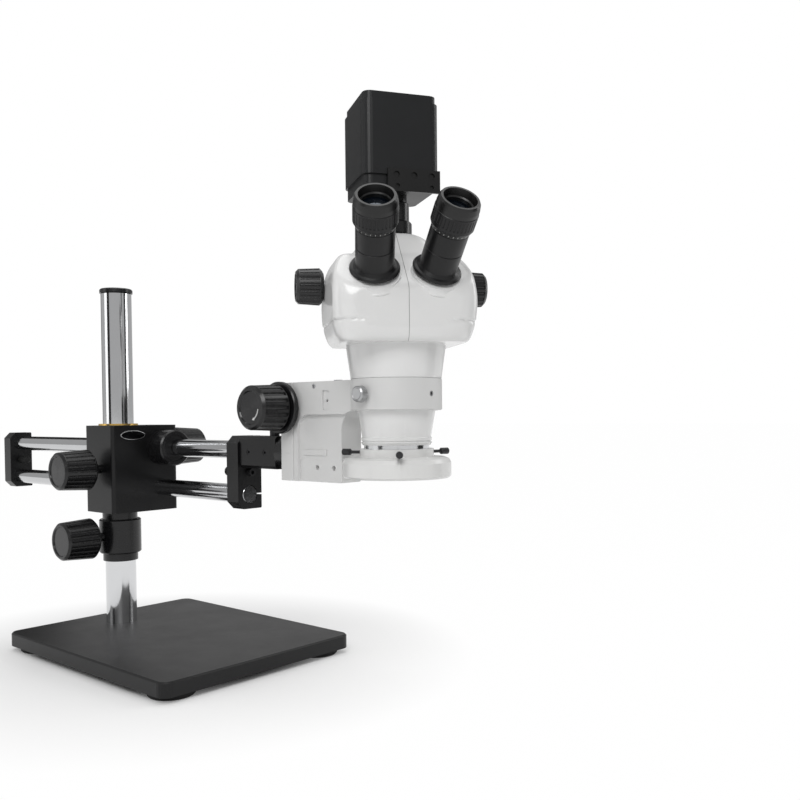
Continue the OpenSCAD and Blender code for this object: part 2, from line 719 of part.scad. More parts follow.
module arm_screws() {
  color("#9a9da1") {
    along_front([side_screw_x, rod_aside - mount_w / 2 + 4, side_screw_z]) set_screw(arm_screw_d, 3.6);
    translate([top_screw_x, rod_aside, arm_z1 - arm_screw_sink])
      cap_screw(arm_screw_d, top_screw_deep - arm_screw_sink);
    along_x([axis_x + ring_bore / 2 + 0.5, axis_y, ring_mid]) set_screw(arm_screw_d, 3);
  }
}
module set_screw(d, l) {
  difference() {
    cylinder(d = d, h = l);
    translate([0, 0, l - 1.8]) cylinder(d = d * 0.55, h = 3, $fn = 6);
  }
}
module ring_knob() {
  y = axis_y - ring_bore / 2 - air;
  out = (ring_d - ring_bore) / 2 + 2;
  color("#c9ccd0") along_front([axis_x, y, ring_mid]) {
    cylinder(d = ring_stud_d, h = out + eps);
    translate([0, 0, out]) fluted_knob(15, 8.5, 24, 1, 9, 0.5);
  }
}

// Head: everything here is in the head's own frame, whose +X is the way that the eyepieces face.
module in_head() { translate([axis_x, axis_y, 0]) rotate([0, 0, head_turn]) children(); }
// A frame on an eye tube's seat, +Z along the tube; side is -1 on the head's left and 1 on its right.
module in_seat(side) {
  translate([seat_x, side * seat_apart / 2, seat_z])
    rotate([0, eye_tilt, 0]) rotate([-side * eye_splay, 0, 0])
      translate([0, 0, seat_lift]) children();
}
module head_barrel() {
  ri = nose_bore / 2;
  rg = guide_y - 7;
  rr = ring_bore / 2 - run_fit;
  rc = ring_d / 2;
  rn = nose_d / 2;
  color("#ececeb") in_head() {
    turned([[ri, lip_z], [rn + 1.2, lip_z], [rn + 2.6, lip_z + 2.2], [rn + 1.4, lip_z + 3],
      [rn + 1.4, lip_z + 3.6], [rn + 2.4, lip_z + 4.4], [rn + 2.4, lip_z + 6.6], [rn + 1.6, lip_z + 7.2],
      [rr - 2.1, ring_z0 - air], [rr, ring_z0 - air], [rr, ring_z1], [rc - 0.2, ring_z1],
      [rc - 0.2, ring_z1 + 1.5], [rc + 3.8, head_z0], [rg, head_z0], [rg, ring_z0 + 6], [ri, ring_z0]]);
    for (s = [-1, 1]) translate([0, s * guide_y, head_z0 - eps]) cylinder(d = guide_d, h = 44);
  }
}
module nose_ring() {
  color("#c9ccd0") in_head() difference() {
    tube(nose_d, nose_bore, nose_z0, lip_z);
    translate([0, 0, nose_z0 - 1]) cylinder(d = nose_seat_d, h = nose_seat_deep + 1);
  }
}
module objective_lens() {
  r = nose_bore / 2;
  z = nose_z0 + nose_seat_deep + 5.5;
  color("#8fb4c4") in_head() translate([0, 0, z])
    turned(concat([[0, -5]], [for (i = [1:6]) [r * i / 6, -2 - 3 * (1 - pow(i / 6, 2))]],
      [for (i = [6:-1:1]) [r * i / 6, 2 + 3 * (1 - pow(i / 6, 2))]], [[0, 5]]));
}

// The shell is where a side view, a plan and a front view, each drawn as an outline, meet.
// The inner space is the same three outlines drawn smaller by t.
module side_outline(t) {
  z0 = head_z0 + t;
  b = -44 + t;
  slope = shoulder_x + shoulder_z - t * sqrt(2);
  polygon([[b + 6, z0], [50 - t, z0], [56 - t, z0 + 6], [57 - t, head_z0 + 16], [55.5 - t, head_z0 + 19],
    [59.5 - t, head_z0 + 26], [60 - t, head_z0 + 38], [shoulder_x - 0.4 * t, slope - shoulder_x + 0.4 * t],
    [20, slope - 20], [13 - t, head_z1 - 9], [6 - t, head_z1 - t], [b + 10, head_z1 - t],
    [b, head_z1 - 10], [b, z0 + 8]]);
}
module plan_outline(t) {
  hw = head_w / 2;
  rf = 16;
  rb = 14;
  half = concat(arc(60 - rf, hw - 1 - rf, rf - t, 0, 86), [[15, hw - t]],
    arc(rb - 44, hw - rb, rb - t, 90, 180));
  n = len(half);
  polygon(concat(half, [for (i = [1:n]) [half[n - i][0], -half[n - i][1]]]));
}
module front_outline(t) {
  hw = head_w / 2;
  half = [[0, head_z0 + t], [hw - 9 - t, head_z0 + t], [hw - 3 - t, head_z0 + 6],
    [hw - 2 - t, head_z0 + 16], [hw - 4 - t, head_z0 + 19], [hw - t, head_z0 + 26], [hw - t, head_z0 + 62],
    [hw - 4 - t, head_z0 + 71], [hw - 12 - t, head_z0 + 77 - t], [48, head_z0 + 79 - t * 1.2],
    [22, head_z1 - 3 - t], [15, head_z1 - t], [0, head_z1 - t]];
  n = len(half);
  polygon(concat(half, [for (i = [2:n - 1]) [-half[n - i][0], half[n - i][1]]]));
}
module head_form(t) {
  far = 200;
  intersection() {
    translate([0, far / 2, 0]) rotate([90, 0, 0]) linear_extrude(far) side_outline(t);
    translate([0, 0, head_z0 - 10]) linear_extrude(head_h + 20) plan_outline(t);
    translate([-far / 2, 0, 0]) rotate([90, 0, 90]) linear_extrude(far) front_outline(t);
  }
}
module head_shell(side) {
  shaft_bore = zoom_shaft_d + 2 * run_fit;
  color("#efefee") in_head() difference() {
    union() {
      difference() {
        head_form(0);
        head_form(shell_t);
      }
      in_seat(side) {
        translate([0, 0, -seat_lift - shell_t]) cylinder(d = seat_d, h = seat_lift + shell_t);
        translate([-ipd_arm, 0, -16]) cylinder(d = ipd_pin_d, h = 15);
      }
      translate([zoom_x, side * (head_w / 2 - shell_t), zoom_z]) rotate([side * 90, 0, 0])
        cylinder(d = zoom_boss_d, h = 8);
    }
    translate([-100, side > 0 ? -200 + seam / 2 : -seam / 2, 0]) cube([200, 200, 700]);
    in_seat(side) translate([0, 0, -40]) cylinder(d = slot_d, h = 50);
    translate([0, 0, head_z0 - 1]) cylinder(d = ring_d, h = shell_t + 2);
    translate([port_x, 0, head_z1 - 2 * shell_t]) cylinder(d = port_d - 8, h = 4 * shell_t);
    translate([zoom_x, 0, zoom_z]) rotate([side * -90, 0, 0]) cylinder(d = shaft_bore, h = head_w);
  }
}
module head_shell_left() { head_shell(-1); }
module head_shell_right() { head_shell(1); }

// Zoom: a cross shaft with a knob on each end and a pinion that lifts the lens carriage.
module zoom_shaft() {
  l = head_w + 2 * (air + zoom_knob_l - 6);
  color("#8d9095") in_head() along_front([zoom_x, l / 2, zoom_z]) {
    cylinder(d = zoom_shaft_d, h = l);
    translate([0, 0, l / 2 - 4]) linear_extrude(8) polygon(gear_points(zoom_teeth, zoom_gear_r, tooth_h));
  }
}
module zoom_knob(side) {
  y = head_w / 2 + air;
  color("#151516") in_head() translate([zoom_x, side * y, zoom_z]) rotate([side * -90, 0, 0]) difference() {
    fluted_knob(zoom_knob_d, zoom_knob_l, 18, 3.2, 26, 1, 1);
    translate([0, 0, -1]) cylinder(d = zoom_shaft_d, h = zoom_knob_l - 5);
  }
}
module zoom_knob_left() { zoom_knob(-1); }
module zoom_knob_right() { zoom_knob(1); }
module zoom_carriage() {
  cell_y = 14;
  x = zoom_x + zoom_gear_r - tooth_h / 2;
  post_z1 = zoom_z + 20;
  color("#3b3d40") in_head() difference() {
    union() {
      translate([-7, -guide_y - 6, carriage_z]) cube([14, 2 * guide_y + 12, 5]);
      for (s = [-1, 1]) translate([0, s * cell_y, carriage_z - 5]) cylinder(d = 22, h = 16);
      translate([x, -4, carriage_z]) cube([6, 8, post_z1 - carriage_z]);
    }
    for (s = [-1, 1]) {
      translate([0, s * cell_y, carriage_z - 6]) cylinder(d = 17, h = 18);
      translate([0, s * guide_y, carriage_z - 1]) cylinder(d = guide_d + 2 * run_fit, h = 7);
    }
    translate([0, 10, 0]) rotate([90, 0, 0]) linear_extrude(20)
      for (i = [-8:8]) translate([x, zoom_z + i * zoom_pitch]) rack_gap(zoom_pitch);
  }
}
module prisms() {
  color("#9fc3cf") in_head() for (side = [-1, 1]) in_seat(side) difference() {
    translate([-ipd_arm - 6, -10, -34]) cube([ipd_arm + 14, 20, 19]);
    translate([-ipd_arm, 0, -16 - eps]) cylinder(d = ipd_pin_d, h = 4);
  }
}

// Eye tubes, diopter rings, eyecups and eye lenses.
module eye_tube(side) {
  rt = eye_tube_d / 2;
  rf = eye_flange_d / 2;
  ri = neck_d / 2 - 2.5;
  step = eye_tube_l * 0.55;
  z0 = arm_plate_z - arm_plate_t;
  color("#131314") in_head() in_seat(side) difference() {
    union() {
      turned([[ri, z0], [neck_d / 2, z0], [neck_d / 2, seat_gap], [rf - 0.5, seat_gap],
        [rf, seat_gap + 0.8], [rf - 1.2, seat_gap + 2.4], [rt + 2, seat_gap + 3.2], [rt, seat_gap + 5.5], [rt, step],
        [rt - 0.5, step + 0.3], [rt - 0.5, step + 0.9], [rt, step + 1.2], [rt, eye_tube_l],
        [rt - 3, eye_tube_l], [rt - 3, eye_tube_l + 8], [ri, eye_tube_l + 8]]);
      translate([-ipd_arm, -6, z0]) cube([ipd_arm - ri - 1, 12, arm_plate_t]);
      translate([-ipd_arm, 0, z0]) cylinder(d = 12, h = arm_plate_t);
    }
    translate([-ipd_arm, 0, z0 - 1]) cylinder(d = ipd_pin_d + 2 * run_fit, h = arm_plate_t + 2);
  }
}
module eye_tube_left() { eye_tube(-1); }
module eye_tube_right() { eye_tube(1); }
module diopter_ring(side) {
  z = eye_tube_l + air;
  ri = eye_tube_d / 2 - 3 + run_fit;
  rt = eye_tube_d / 2;
  r = diopter_d / 2;
  color("#131314") in_head() in_seat(side) difference() {
    translate([0, 0, z]) turned([[ri, 0], [rt, 0], [r - 0.6, 4], [r, 5],
      [r, diopter_l - 0.6], [r - 0.6, diopter_l], [ri, diopter_l]]);
    for (i = [0:35]) rotate([0, 0, 10 * i]) translate([r + 0.5, 0, z + 8])
      cylinder(d = 1.8, h = diopter_l - 10);
  }
}
module diopter_ring_left() { diopter_ring(-1); }
module diopter_ring_right() { diopter_ring(1); }
module eyecup(side) {
  z = eye_tube_l + air + diopter_l;
  r0 = diopter_d / 2 - 0.4;
  r1 = eyecup_d / 2;
  l = eyecup_l;
  color("#0e0e0f") in_head() in_seat(side) translate([0, 0, z])
    turned([[lens_d / 2, 0], [r0, 0], [r0, l * 0.35], [r1 + 0.8, l * 0.8], [r1 - 0.4, l], [r1 - 2.4, l],
      [lens_d / 2 + 1, l * 0.4], [lens_d / 2, l * 0.3]]);
}
module eyecup_left() { eyecup(-1); }
module eyecup_right() { eyecup(1); }
module eye_lens(side) {
  z = eye_tube_l + air + diopter_l - 4;
  r = eye_tube_d / 2 - 3 + run_fit;
  color("#54707c") in_head() in_seat(side) translate([0, 0, z]) intersection() {
    turned(concat([[0, 0], [r, 0], [r, 4]],
      [for (i = [6:-1:0]) [lens_d / 2 * i / 6, 4 + 1.6 * (1 - pow(i / 6, 2))]]));
    cylinder(r = r, h = 20);
  }
}
module eye_lens_left() { eye_lens(-1); }
module eye_lens_right() { eye_lens(1); }

// Camera port and camera.
module in_port() { in_head() translate([port_x, 0, 0]) children(); }
module in_camera() { in_port() rotate([0, 0, camera_turn]) children(); }
module camera_port() {
  r = port_d / 2;
  ri = mount_d / 2 - 2 + run_fit;
  color("#161617") in_port() translate([0, 0, head_z1])
    turned([[ri, 0], [r + 2.5, 0], [r + 2.5, port_rim_h - 2], [r + 1.5, port_rim_h - 0.6], [r, port_rim_h],
      [r, port_h - 1], [r - 1, port_h], [ri, port_h]]);
}
module camera_mount() {
  r = mount_d / 2;
  z0 = head_z1 + 8;
  z1 = head_z1 + port_h + air;
  z2 = camera_z0 - camera_base_h;
  z3 = camera_z0 - 4;
  color("#161617") in_camera()
    turned([[r - 6, z0], [r - 2, z0], [r - 2, z1], [r, z1], [r, z2], [r - 3, z2], [r - 3, z3], [r - 6, z3]]);
}
module camera_square(inset, z0, z1) {
  w = camera_w - 2 * inset;
  translate([0, 0, z0]) linear_extrude(z1 - z0) polygon(round_rect(w, w, camera_r - inset));
}
module camera_sleeve() {
  color("#17181a") in_camera() difference() {
    camera_square(0, camera_z0, camera_z1);
    camera_square(camera_t, camera_z0 - 1, camera_z1 + 1);
  }
}
module camera_lid() {
  color("#141517") in_camera() {
    camera_square(camera_inset, camera_z1, camera_z1 + camera_lid_h);
    camera_square(camera_t, camera_z1 - 3, camera_z1 + eps);
  }
}
module camera_base() {
  color("#141517") in_camera() difference() {
    union() {
      camera_square(camera_inset, camera_z0 - camera_base_h, camera_z0);
      camera_square(camera_t, camera_z0 - eps, camera_z0 + 4);
    }
    translate([0, 0, camera_z0 - camera_base_h - 1]) cylinder(r = mount_d / 2 - 3, h = camera_base_h + 6);
  }
}
module port_panel() {
  x = camera_w / 2;
  w = 49;
  z0 = camera_z0 - camera_base_h - 4;
  h = 20;
  color("#101112") in_camera() difference() {
    translate([x, -14, z0]) cube([2.6, w, h]);
    for (y = [-6, 10.5, 27]) along_x([x + 1, y, z0 + 14.5]) cylinder(d = 6, h = 3);
    for (y = [-5, 27]) along_x([x + 1, y, z0 + 4.5]) cylinder(d = 4.2, h = 3);
  }
}

// Ring light, its LEDs and its three thumbscrews.
module in_light() { in_head() rotate([0, 0, light_turn]) children(); }
module ring_light() {
  ri = nose_d / 2 + run_fit;
  rc = light_collar_d / 2;
  r = light_d / 2;
  color("#eeeeed") in_light() difference() {
    turned([[ri, light_z0], [led_r0, light_z0], [led_r0, light_z0 + 5], [led_r1, light_z0 + 5],
      [led_r1, light_z0], [r - 2, light_z0], [r, light_z0 + 2], [r, light_z1 - 5], [r - 2, light_z1 - 1.6],
      [r - 6, light_z1], [rc, light_z1 + 0.6], [rc, light_collar_z], [ri, light_collar_z]]);
    for (a = screw_angles) rotate([0, 0, a]) along_x([ri - 1, 0, screw_z])
      cylinder(d = thumb_d + 2 * run_fit, h = 10);
    rotate([0, 0, 170]) along_x([r - 8, 0, (light_z0 + light_z1) / 2]) cylinder(d = 8, h = 10);
  }
}
module ring_light_leds() {
  rows = 2;
  color("#f2f0e2") in_light() {
    difference() {
      translate([0, 0, light_z0 + 3]) cylinder(r = led_r1, h = 2);
      translate([0, 0, light_z0 + 2]) cylinder(r = led_r0, h = 4);
    }
    for (k = [0:rows - 1], i = [0:23]) rotate([0, 0, 15 * i + 7.5 * k])
      translate([led_r0 + 3.6 + 6 * k, 0, light_z0 + 1]) cylinder(d = 4, h = 2 + eps);
  }
}
module thumbscrew(i) {
  head = 9;
  r0 = nose_d / 2 + air;
  r1 = screw_reach - head;
  color("#2a2a2b") in_light() rotate([0, 0, screw_angles[i]]) along_x([0, 0, screw_z]) {
    translate([0, 0, r0]) cylinder(d = thumb_d, h = r1 - r0 + eps);
    translate([0, 0, r1]) turned([[0, 0], [2.2, 0], [3.1, 1], [3.1, head - 0.6], [2.5, head], [0, head]]);
  }
}
module thumbscrew_front() { thumbscrew(0); }
module thumbscrew_left() { thumbscrew(1); }
module thumbscrew_right() { thumbscrew(2); }

base_plate();
feet();
column();
column_cap();
column_bolt();
stop_collar();
collar_knob();
carrier_block();
column_bush();
bearing_tube();
ball_bushings();
clamp_knob();
rod_lock_knob();
upper_rod();
lower_rod();
rear_end_plate();
front_end_plate();
boom_screws();
bumpers();
pivot_block();
tilt_stub();
focus_housing();
pinion_shaft();
focus_knob_left();
focus_knob_right();
tension_collar();
focus_slider();
focus_rack();
ring_holder();
arm_screws();
ring_knob();
head_barrel();
nose_ring();
objective_lens();
head_shell_left();
head_shell_right();
zoom_shaft();
zoom_knob_left();
zoom_knob_right();
zoom_carriage();
prisms();
eye_tube_left();
eye_tube_right();
diopter_ring_left();
diopter_ring_right();
eyecup_left();
eyecup_right();
eye_lens_left();
eye_lens_right();
camera_port();
camera_mount();
camera_sleeve();
camera_lid();
camera_base();
port_panel();
ring_light();
ring_light_leds();
thumbscrew_front();
thumbscrew_left();
thumbscrew_right();
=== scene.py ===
"""Looks of a trinocular stereo microscope on a boom stand: finishes, fine pieces, studio and camera."""

import logging
import math
from dataclasses import dataclass, field
from enum import Enum

import bmesh
import bpy
import numpy as np
from mathutils import Matrix, Vector


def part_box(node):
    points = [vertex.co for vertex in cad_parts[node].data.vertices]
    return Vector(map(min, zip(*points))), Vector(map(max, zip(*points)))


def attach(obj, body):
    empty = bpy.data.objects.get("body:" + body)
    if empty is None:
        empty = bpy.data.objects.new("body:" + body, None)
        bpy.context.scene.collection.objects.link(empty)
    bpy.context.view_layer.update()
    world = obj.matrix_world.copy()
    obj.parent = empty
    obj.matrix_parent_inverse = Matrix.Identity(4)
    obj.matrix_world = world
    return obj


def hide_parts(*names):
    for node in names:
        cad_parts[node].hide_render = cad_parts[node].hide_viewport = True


logging.basicConfig(level=logging.INFO, format="%(message)s")
log = logging.getLogger("microscope")

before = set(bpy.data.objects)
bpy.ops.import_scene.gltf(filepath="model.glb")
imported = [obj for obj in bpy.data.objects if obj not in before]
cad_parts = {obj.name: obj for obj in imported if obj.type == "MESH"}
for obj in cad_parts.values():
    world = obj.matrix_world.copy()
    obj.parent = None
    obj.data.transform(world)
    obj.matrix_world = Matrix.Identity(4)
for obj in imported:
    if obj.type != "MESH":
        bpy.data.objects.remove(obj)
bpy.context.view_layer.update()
MM = 0.001


@dataclass(frozen=True)
class Place:
    """A right-handed frame: an origin in millimetres and three unit axes in the model's frame."""

    origin: tuple[float, float, float]
    x: tuple[float, float, float] = (1.0, 0.0, 0.0)
    y: tuple[float, float, float] = (0.0, 1.0, 0.0)
    z: tuple[float, float, float] = (0.0, 0.0, 1.0)

    def put(self, points: np.ndarray) -> np.ndarray:
        """Carries local points in millimetres into the model's frame: origin plus coordinates times axes.

        Args:
            points: an array whose last axis is x, y, z.

        Returns:
            The same points in the model's frame, still in millimetres.
        """
        return np.asarray(self.origin) + np.asarray(points) @ np.array([self.x, self.y, self.z])

    def turned(self, rows: np.ndarray, origin: tuple[float, float, float] | np.ndarray) -> "Place":
        """Makes a frame inside this one.

        Args:
            rows: the new axes as rows, in this frame.
            origin: the new origin, in this frame.

        Returns:
            The new frame, stated in the model's frame.
        """
        axes = np.asarray(rows) @ np.array([self.x, self.y, self.z])
        spot = self.put(np.asarray(origin, float))
        return Place(tuple(spot), tuple(axes[0]), tuple(axes[1]), tuple(axes[2]))

    def euler(self) -> tuple[float, float, float]:
        """The Euler angles of this frame's axes."""
        return tuple(Matrix([self.x, self.y, self.z]).transposed().to_euler())


MODEL = Place((0.0, 0.0, 0.0))


def spin(degrees: float, about: str) -> np.ndarray:
    """The rows of a frame turned about one of its axes, by the right-hand rule.

    Args:
        degrees: the angle.
        about: X, Y or Z.

    Returns:
        A 3 by 3 array of the turned axes as rows.
    """
    return np.array(Matrix.Rotation(math.radians(degrees), 3, about).transposed())


class Pattern(Enum):
    """How the tool left its lines on a surface."""

    NONE = 0
    ALONG = 1
    ROUND = 2


def smooth_step(x: np.ndarray, low: float, high: float) -> np.ndarray:
    """Eases from 0 at low to 1 at high by 3t^2 - 2t^3."""
    t = np.clip((x - low) / (high - low), 0.0, 1.0)
    return t * t * (3.0 - 2.0 * t)


def surface(name: str, points: np.ndarray, wrap: tuple[bool, bool], sharp: float = 35.0) -> bpy.types.Object:
    """Turns a grid of points into a closed mesh object.

    The faces join each grid point to its neighbours along both parameters; the last row or column
    joins the first where that parameter wraps. Points that meet at a pole are merged.

    Args:
        name: the piece's name.
        points: rows by columns by 3, in millimetres, in the model's frame.
        wrap: whether the rows and the columns close on themselves.
        sharp: the angle in degrees past which an edge stays crisp.

    Returns:
        The object, at the origin, with its place in its mesh.
    """
    rows, columns = points.shape[:2]
    index = np.arange(rows * columns).reshape(rows, columns)
    a = index if wrap[0] else index[:-1]
    b = np.roll(index, -1, 0) if wrap[0] else index[1:]
    if not wrap[1]:
        quads = np.stack([a[:, :-1], b[:, :-1], b[:, 1:], a[:, 1:]], -1)
    else:
        quads = np.stack([a, b, np.roll(b, -1, 1), np.roll(a, -1, 1)], -1)
    mesh = bpy.data.meshes.new(name)
    mesh.from_pydata((points.reshape(-1, 3) * MM).tolist(), [], quads.reshape(-1, 4).tolist())
    work = bmesh.new()
    work.from_mesh(mesh)
    bmesh.ops.remove_doubles(work, verts=work.verts, dist=1e-6)
    bmesh.ops.recalc_face_normals(work, faces=work.faces)
    work.to_mesh(mesh)
    work.free()
    mesh.polygons.foreach_set("use_smooth", np.ones(len(mesh.polygons), bool))
    mesh.set_sharp_from_angle(angle=math.radians(sharp))
    piece = bpy.data.objects.new(name, mesh)
    bpy.context.scene.collection.objects.link(piece)
    return piece


def lathe(name: str, place: Place, profile: list[tuple[float, float]], steps: int = 96) -> bpy.types.Object:
    """A closed profile of radius and height carried round the frame's z axis.

    Each point goes to (r cos a, r sin a, h) for every angle a of a full turn.

    Args:
        name: the piece's name.
        place: the frame whose z axis it turns about.
        profile: the closed section's radius and height pairs, in millimetres.
        steps: how many angles make the turn.

    Returns:
        The turned piece.
    """
    section = np.asarray(profile, float)
    angle = np.linspace(0.0, 2.0 * math.pi, steps, endpoint=False)[:, None]
    local = np.stack([section[:, 0] * np.cos(angle), section[:, 0] * np.sin(angle), section[:, 1] + 0.0 * angle], -1)
    return surface(name, place.put(local), (True, True))


def plate(name: str, place: Place, outline: np.ndarray, height: float, round_off: float) -> bpy.types.Object:
    """A thin plate with a rounded rim: the outline shrinks by a quarter circle as it rises.

    Args:
        name: the piece's name.
        place: a frame on the plate's underside, z along its thickness.
        outline: its outer edge as an array of x and y, star-shaped about its middle line.
        height: its thickness in millimetres.
        round_off: the radius of its upper rim.

    Returns:
        The plate, closed by rings that run in to the outline's middle.
    """
    centre = outline.mean(0)
    away = outline - centre
    length = np.linalg.norm(away, axis=1, keepdims=True)
    turn = np.linspace(0.0, math.pi / 2, 5)
    rings = [np.hstack([centre + away * 0.0, np.zeros((len(outline), 1))]), np.hstack([outline, np.zeros((len(outline), 1))])]
    for t in turn:
        inner = outline - away / length * round_off * (1 - math.cos(t))
        rings.append(np.hstack([inner, np.full((len(outline), 1), height - round_off + round_off * math.sin(t))]))
    rings.append(np.hstack([centre + away * 0.0, np.full((len(outline), 1), height)]))
    return surface(name, place.put(np.stack(rings)), (False, True))


class Graph:
    """A short way to add and join shader nodes."""

    def __init__(self, tree: bpy.types.NodeTree) -> None:
        """Takes the tree that it adds to."""
        self.tree = tree

    def add(self, kind: str, inputs: dict | None = None, **settings: object) -> bpy.types.Node:
        """Adds a node.

        Args:
            kind: the node's type name.
            inputs: values or sockets by input name or number.
            settings: the node's own properties.

        Returns:
            The node.
        """
        node = self.tree.nodes.new(kind)
        for key, value in settings.items():
            setattr(node, key, value)
        for key, value in (inputs or {}).items():
            if isinstance(value, bpy.types.NodeSocket):
                self.tree.links.new(value, node.inputs[key])
            else:
                node.inputs[key].default_value = value
        return node

    def math(self, operation: str, *values: object, clamp: bool = False) -> bpy.types.NodeSocket:
        """The result of a math node on sockets or numbers."""
        node = self.add("ShaderNodeMath", dict(enumerate(values)), operation=operation)
        node.use_clamp = clamp
        return node.outputs[0]

    def mix(self, factor: object, a: object, b: object) -> bpy.types.NodeSocket:
        """A colour mixed from a to b by a factor."""
        node = self.add("ShaderNodeMix", data_type="RGBA")
        for socket, value in ((node.inputs[0], factor), (node.inputs[6], a), (node.inputs[7], b)):
            if isinstance(value, bpy.types.NodeSocket):
                self.tree.links.new(value, socket)
            else:
                socket.default_value = value
        return node.outputs[2]

    def split(self, vector: bpy.types.NodeSocket) -> tuple[bpy.types.NodeSocket, ...]:
        """The three parts of a vector."""
        return tuple(self.add("ShaderNodeSeparateXYZ", {0: vector}).outputs)


class Effect:
    """A shader node group that several finishes share, built once."""

    title: str = ""
    takes: tuple[tuple[str, str, float], ...] = ()
    gives: tuple[tuple[str, str], ...] = ()
    made: dict[str, bpy.types.NodeTree] = {}

    def tree(self) -> bpy.types.NodeTree:
        """The group's tree, made on first use."""
        if self.title in Effect.made:
            return Effect.made[self.title]
        tree = bpy.data.node_groups.new(self.title, "ShaderNodeTree")
        for name, kind, value in self.takes:
            socket = tree.interface.new_socket(name=name, in_out="INPUT", socket_type=kind)
            if kind == "NodeSocketFloat":
                socket.default_value = value
        for name, kind in self.gives:
            tree.interface.new_socket(name=name, in_out="OUTPUT", socket_type=kind)
        graph = Graph(tree)
        start, end = graph.add("NodeGroupInput"), graph.add("NodeGroupOutput")
        for name, socket in self.wire(graph, start).items():
            tree.links.new(socket, end.inputs[name])
        Effect.made[self.title] = tree
        return tree

    def wire(self, graph: Graph, start: bpy.types.Node) -> dict[str, bpy.types.NodeSocket]:
        """Joins the group's nodes.

        Args:
            graph: the group's graph.
            start: its input node.

        Returns:
            The socket behind each output.
        """
        raise NotImplementedError

    def place(self, graph: Graph, **inputs: object) -> bpy.types.Node:
        """Puts the group into a material with its own values, where an underscore stands for a space."""
        node = graph.add("ShaderNodeGroup", node_tree=self.tree())
        for key, value in inputs.items():
            socket = node.inputs[key.replace("_", " ")]
            if isinstance(value, bpy.types.NodeSocket):
                graph.tree.links.new(value, socket)
            else:
                socket.default_value = value
        return node


class SurfaceGrain(Effect):
    """Fine pits of a coated or moulded surface, with slow drifts of tone and gloss."""

    title = "Surface grain"
    takes = (
        ("Vector", "NodeSocketVector", 0.0),
        ("Colour", "NodeSocketColor", 0.0),
        ("Grain size", "NodeSocketFloat", 0.4),
        ("Tone spread", "NodeSocketFloat", 0.1),
        ("Roughness", "NodeSocketFloat", 0.4),
        ("Roughness spread", "NodeSocketFloat", 0.1),
    )
    gives = (("Colour", "NodeSocketColor"), ("Roughness", "NodeSocketFloat"), ("Height", "NodeSocketFloat"))

    def wire(self, graph: Graph, start: bpy.types.Node) -> dict[str, bpy.types.NodeSocket]:
        """Two noises: one at the grain's size for the height, one at hand size for the drifts."""
        scale = graph.math("DIVIDE", 1000.0, start.outputs["Grain size"])
        fine = graph.add("ShaderNodeTexNoise", {"Vector": start.outputs["Vector"], "Scale": scale, "Detail": 3.0})
        slow = graph.add("ShaderNodeTexNoise", {"Vector": start.outputs["Vector"], "Scale": 26.0, "Detail": 4.0, "Roughness": 0.6})
        drift = graph.math("SUBTRACT", slow.outputs[0], 0.5)
        speck = graph.math("SUBTRACT", fine.outputs[0], 0.5)
        both = graph.math("ADD", drift, graph.math("MULTIPLY", speck, 0.8))
        gain = graph.math("ADD", 1.0, graph.math("MULTIPLY", both, graph.math("MULTIPLY", start.outputs["Tone spread"], 2.0)))
        tinted = graph.add("ShaderNodeVectorMath", {0: start.outputs["Colour"], 1: graph.add("ShaderNodeCombineXYZ", {0: gain, 1: gain, 2: gain}).outputs[0]}, operation="MULTIPLY")
        rough = graph.math("ADD", start.outputs["Roughness"], graph.math("MULTIPLY", both, start.outputs["Roughness spread"]), clamp=True)
        return {"Colour": tinted.outputs[0], "Roughness": rough, "Height": fine.outputs[0]}


class ToolLines(Effect):
    """The fine lines that turning or grinding leaves, across z or round it."""

    title = "Tool lines"
    takes = (("Vector", "NodeSocketVector", 0.0), ("Pitch", "NodeSocketFloat", 0.25), ("Round", "NodeSocketFloat", 1.0))
    gives = (("Height", "NodeSocketFloat"), ("Tone", "NodeSocketFloat"))

    def wire(self, graph: Graph, start: bpy.types.Node) -> dict[str, bpy.types.NodeSocket]:
        """Noise read along height plus radius for turned lines, or round the axis for drawn ones."""
        x, y, z = graph.split(start.outputs["Vector"])
        radius = graph.math("SQRT", graph.math("ADD", graph.math("MULTIPLY", x, x), graph.math("MULTIPLY", y, y)))
        angle = graph.math("MULTIPLY", graph.math("ARCTAN2", y, x), 0.012)
        turned = graph.math("ADD", z, radius)
        along = graph.mix(start.outputs["Round"], angle, turned)
        scale = graph.math("DIVIDE", 1000.0, start.outputs["Pitch"])
        point = graph.add("ShaderNodeCombineXYZ", {0: along, 1: graph.math("MULTIPLY", angle, 0.05)})
        fine = graph.add("ShaderNodeTexNoise", {"Vector": point.outputs[0], "Scale": scale, "Detail": 2.0})
        wide = graph.add("ShaderNodeTexNoise", {"Vector": point.outputs[0], "Scale": graph.math("MULTIPLY", scale, 0.11), "Detail": 2.0})
        return {"Height": fine.outputs[0], "Tone": wide.outputs[0]}


class PaintedSheen(Effect):
    """A thin painted sheen that shows on faces that look up: they are lightened towards a grey and made rougher."""

    title = "Painted sheen on tops"
    takes = (("Vector", "NodeSocketVector", 0.0), ("Amount", "NodeSocketFloat", 0.1))
    gives = (("Mask", "NodeSocketFloat"),)

    def wire(self, graph: Graph, start: bpy.types.Node) -> dict[str, bpy.types.NodeSocket]:
        """The upward part of the normal, broken up by a noise."""
        normal = graph.add("ShaderNodeNewGeometry").outputs["Normal"]
        up = graph.math("POWER", graph.math("MAXIMUM", graph.split(normal)[2], 0.0), 3.0)
        cloud = graph.add("ShaderNodeTexNoise", {"Vector": start.outputs["Vector"], "Scale": 60.0, "Detail": 6.0})
        broken = graph.math("MULTIPLY", up, graph.math("MULTIPLY", cloud.outputs[0], 2.0))
        return {"Mask": graph.math("MULTIPLY", broken, start.outputs["Amount"], clamp=True)}


GRAIN, LINES, PAINTED_SHEEN = SurfaceGrain(), ToolLines(), PaintedSheen()


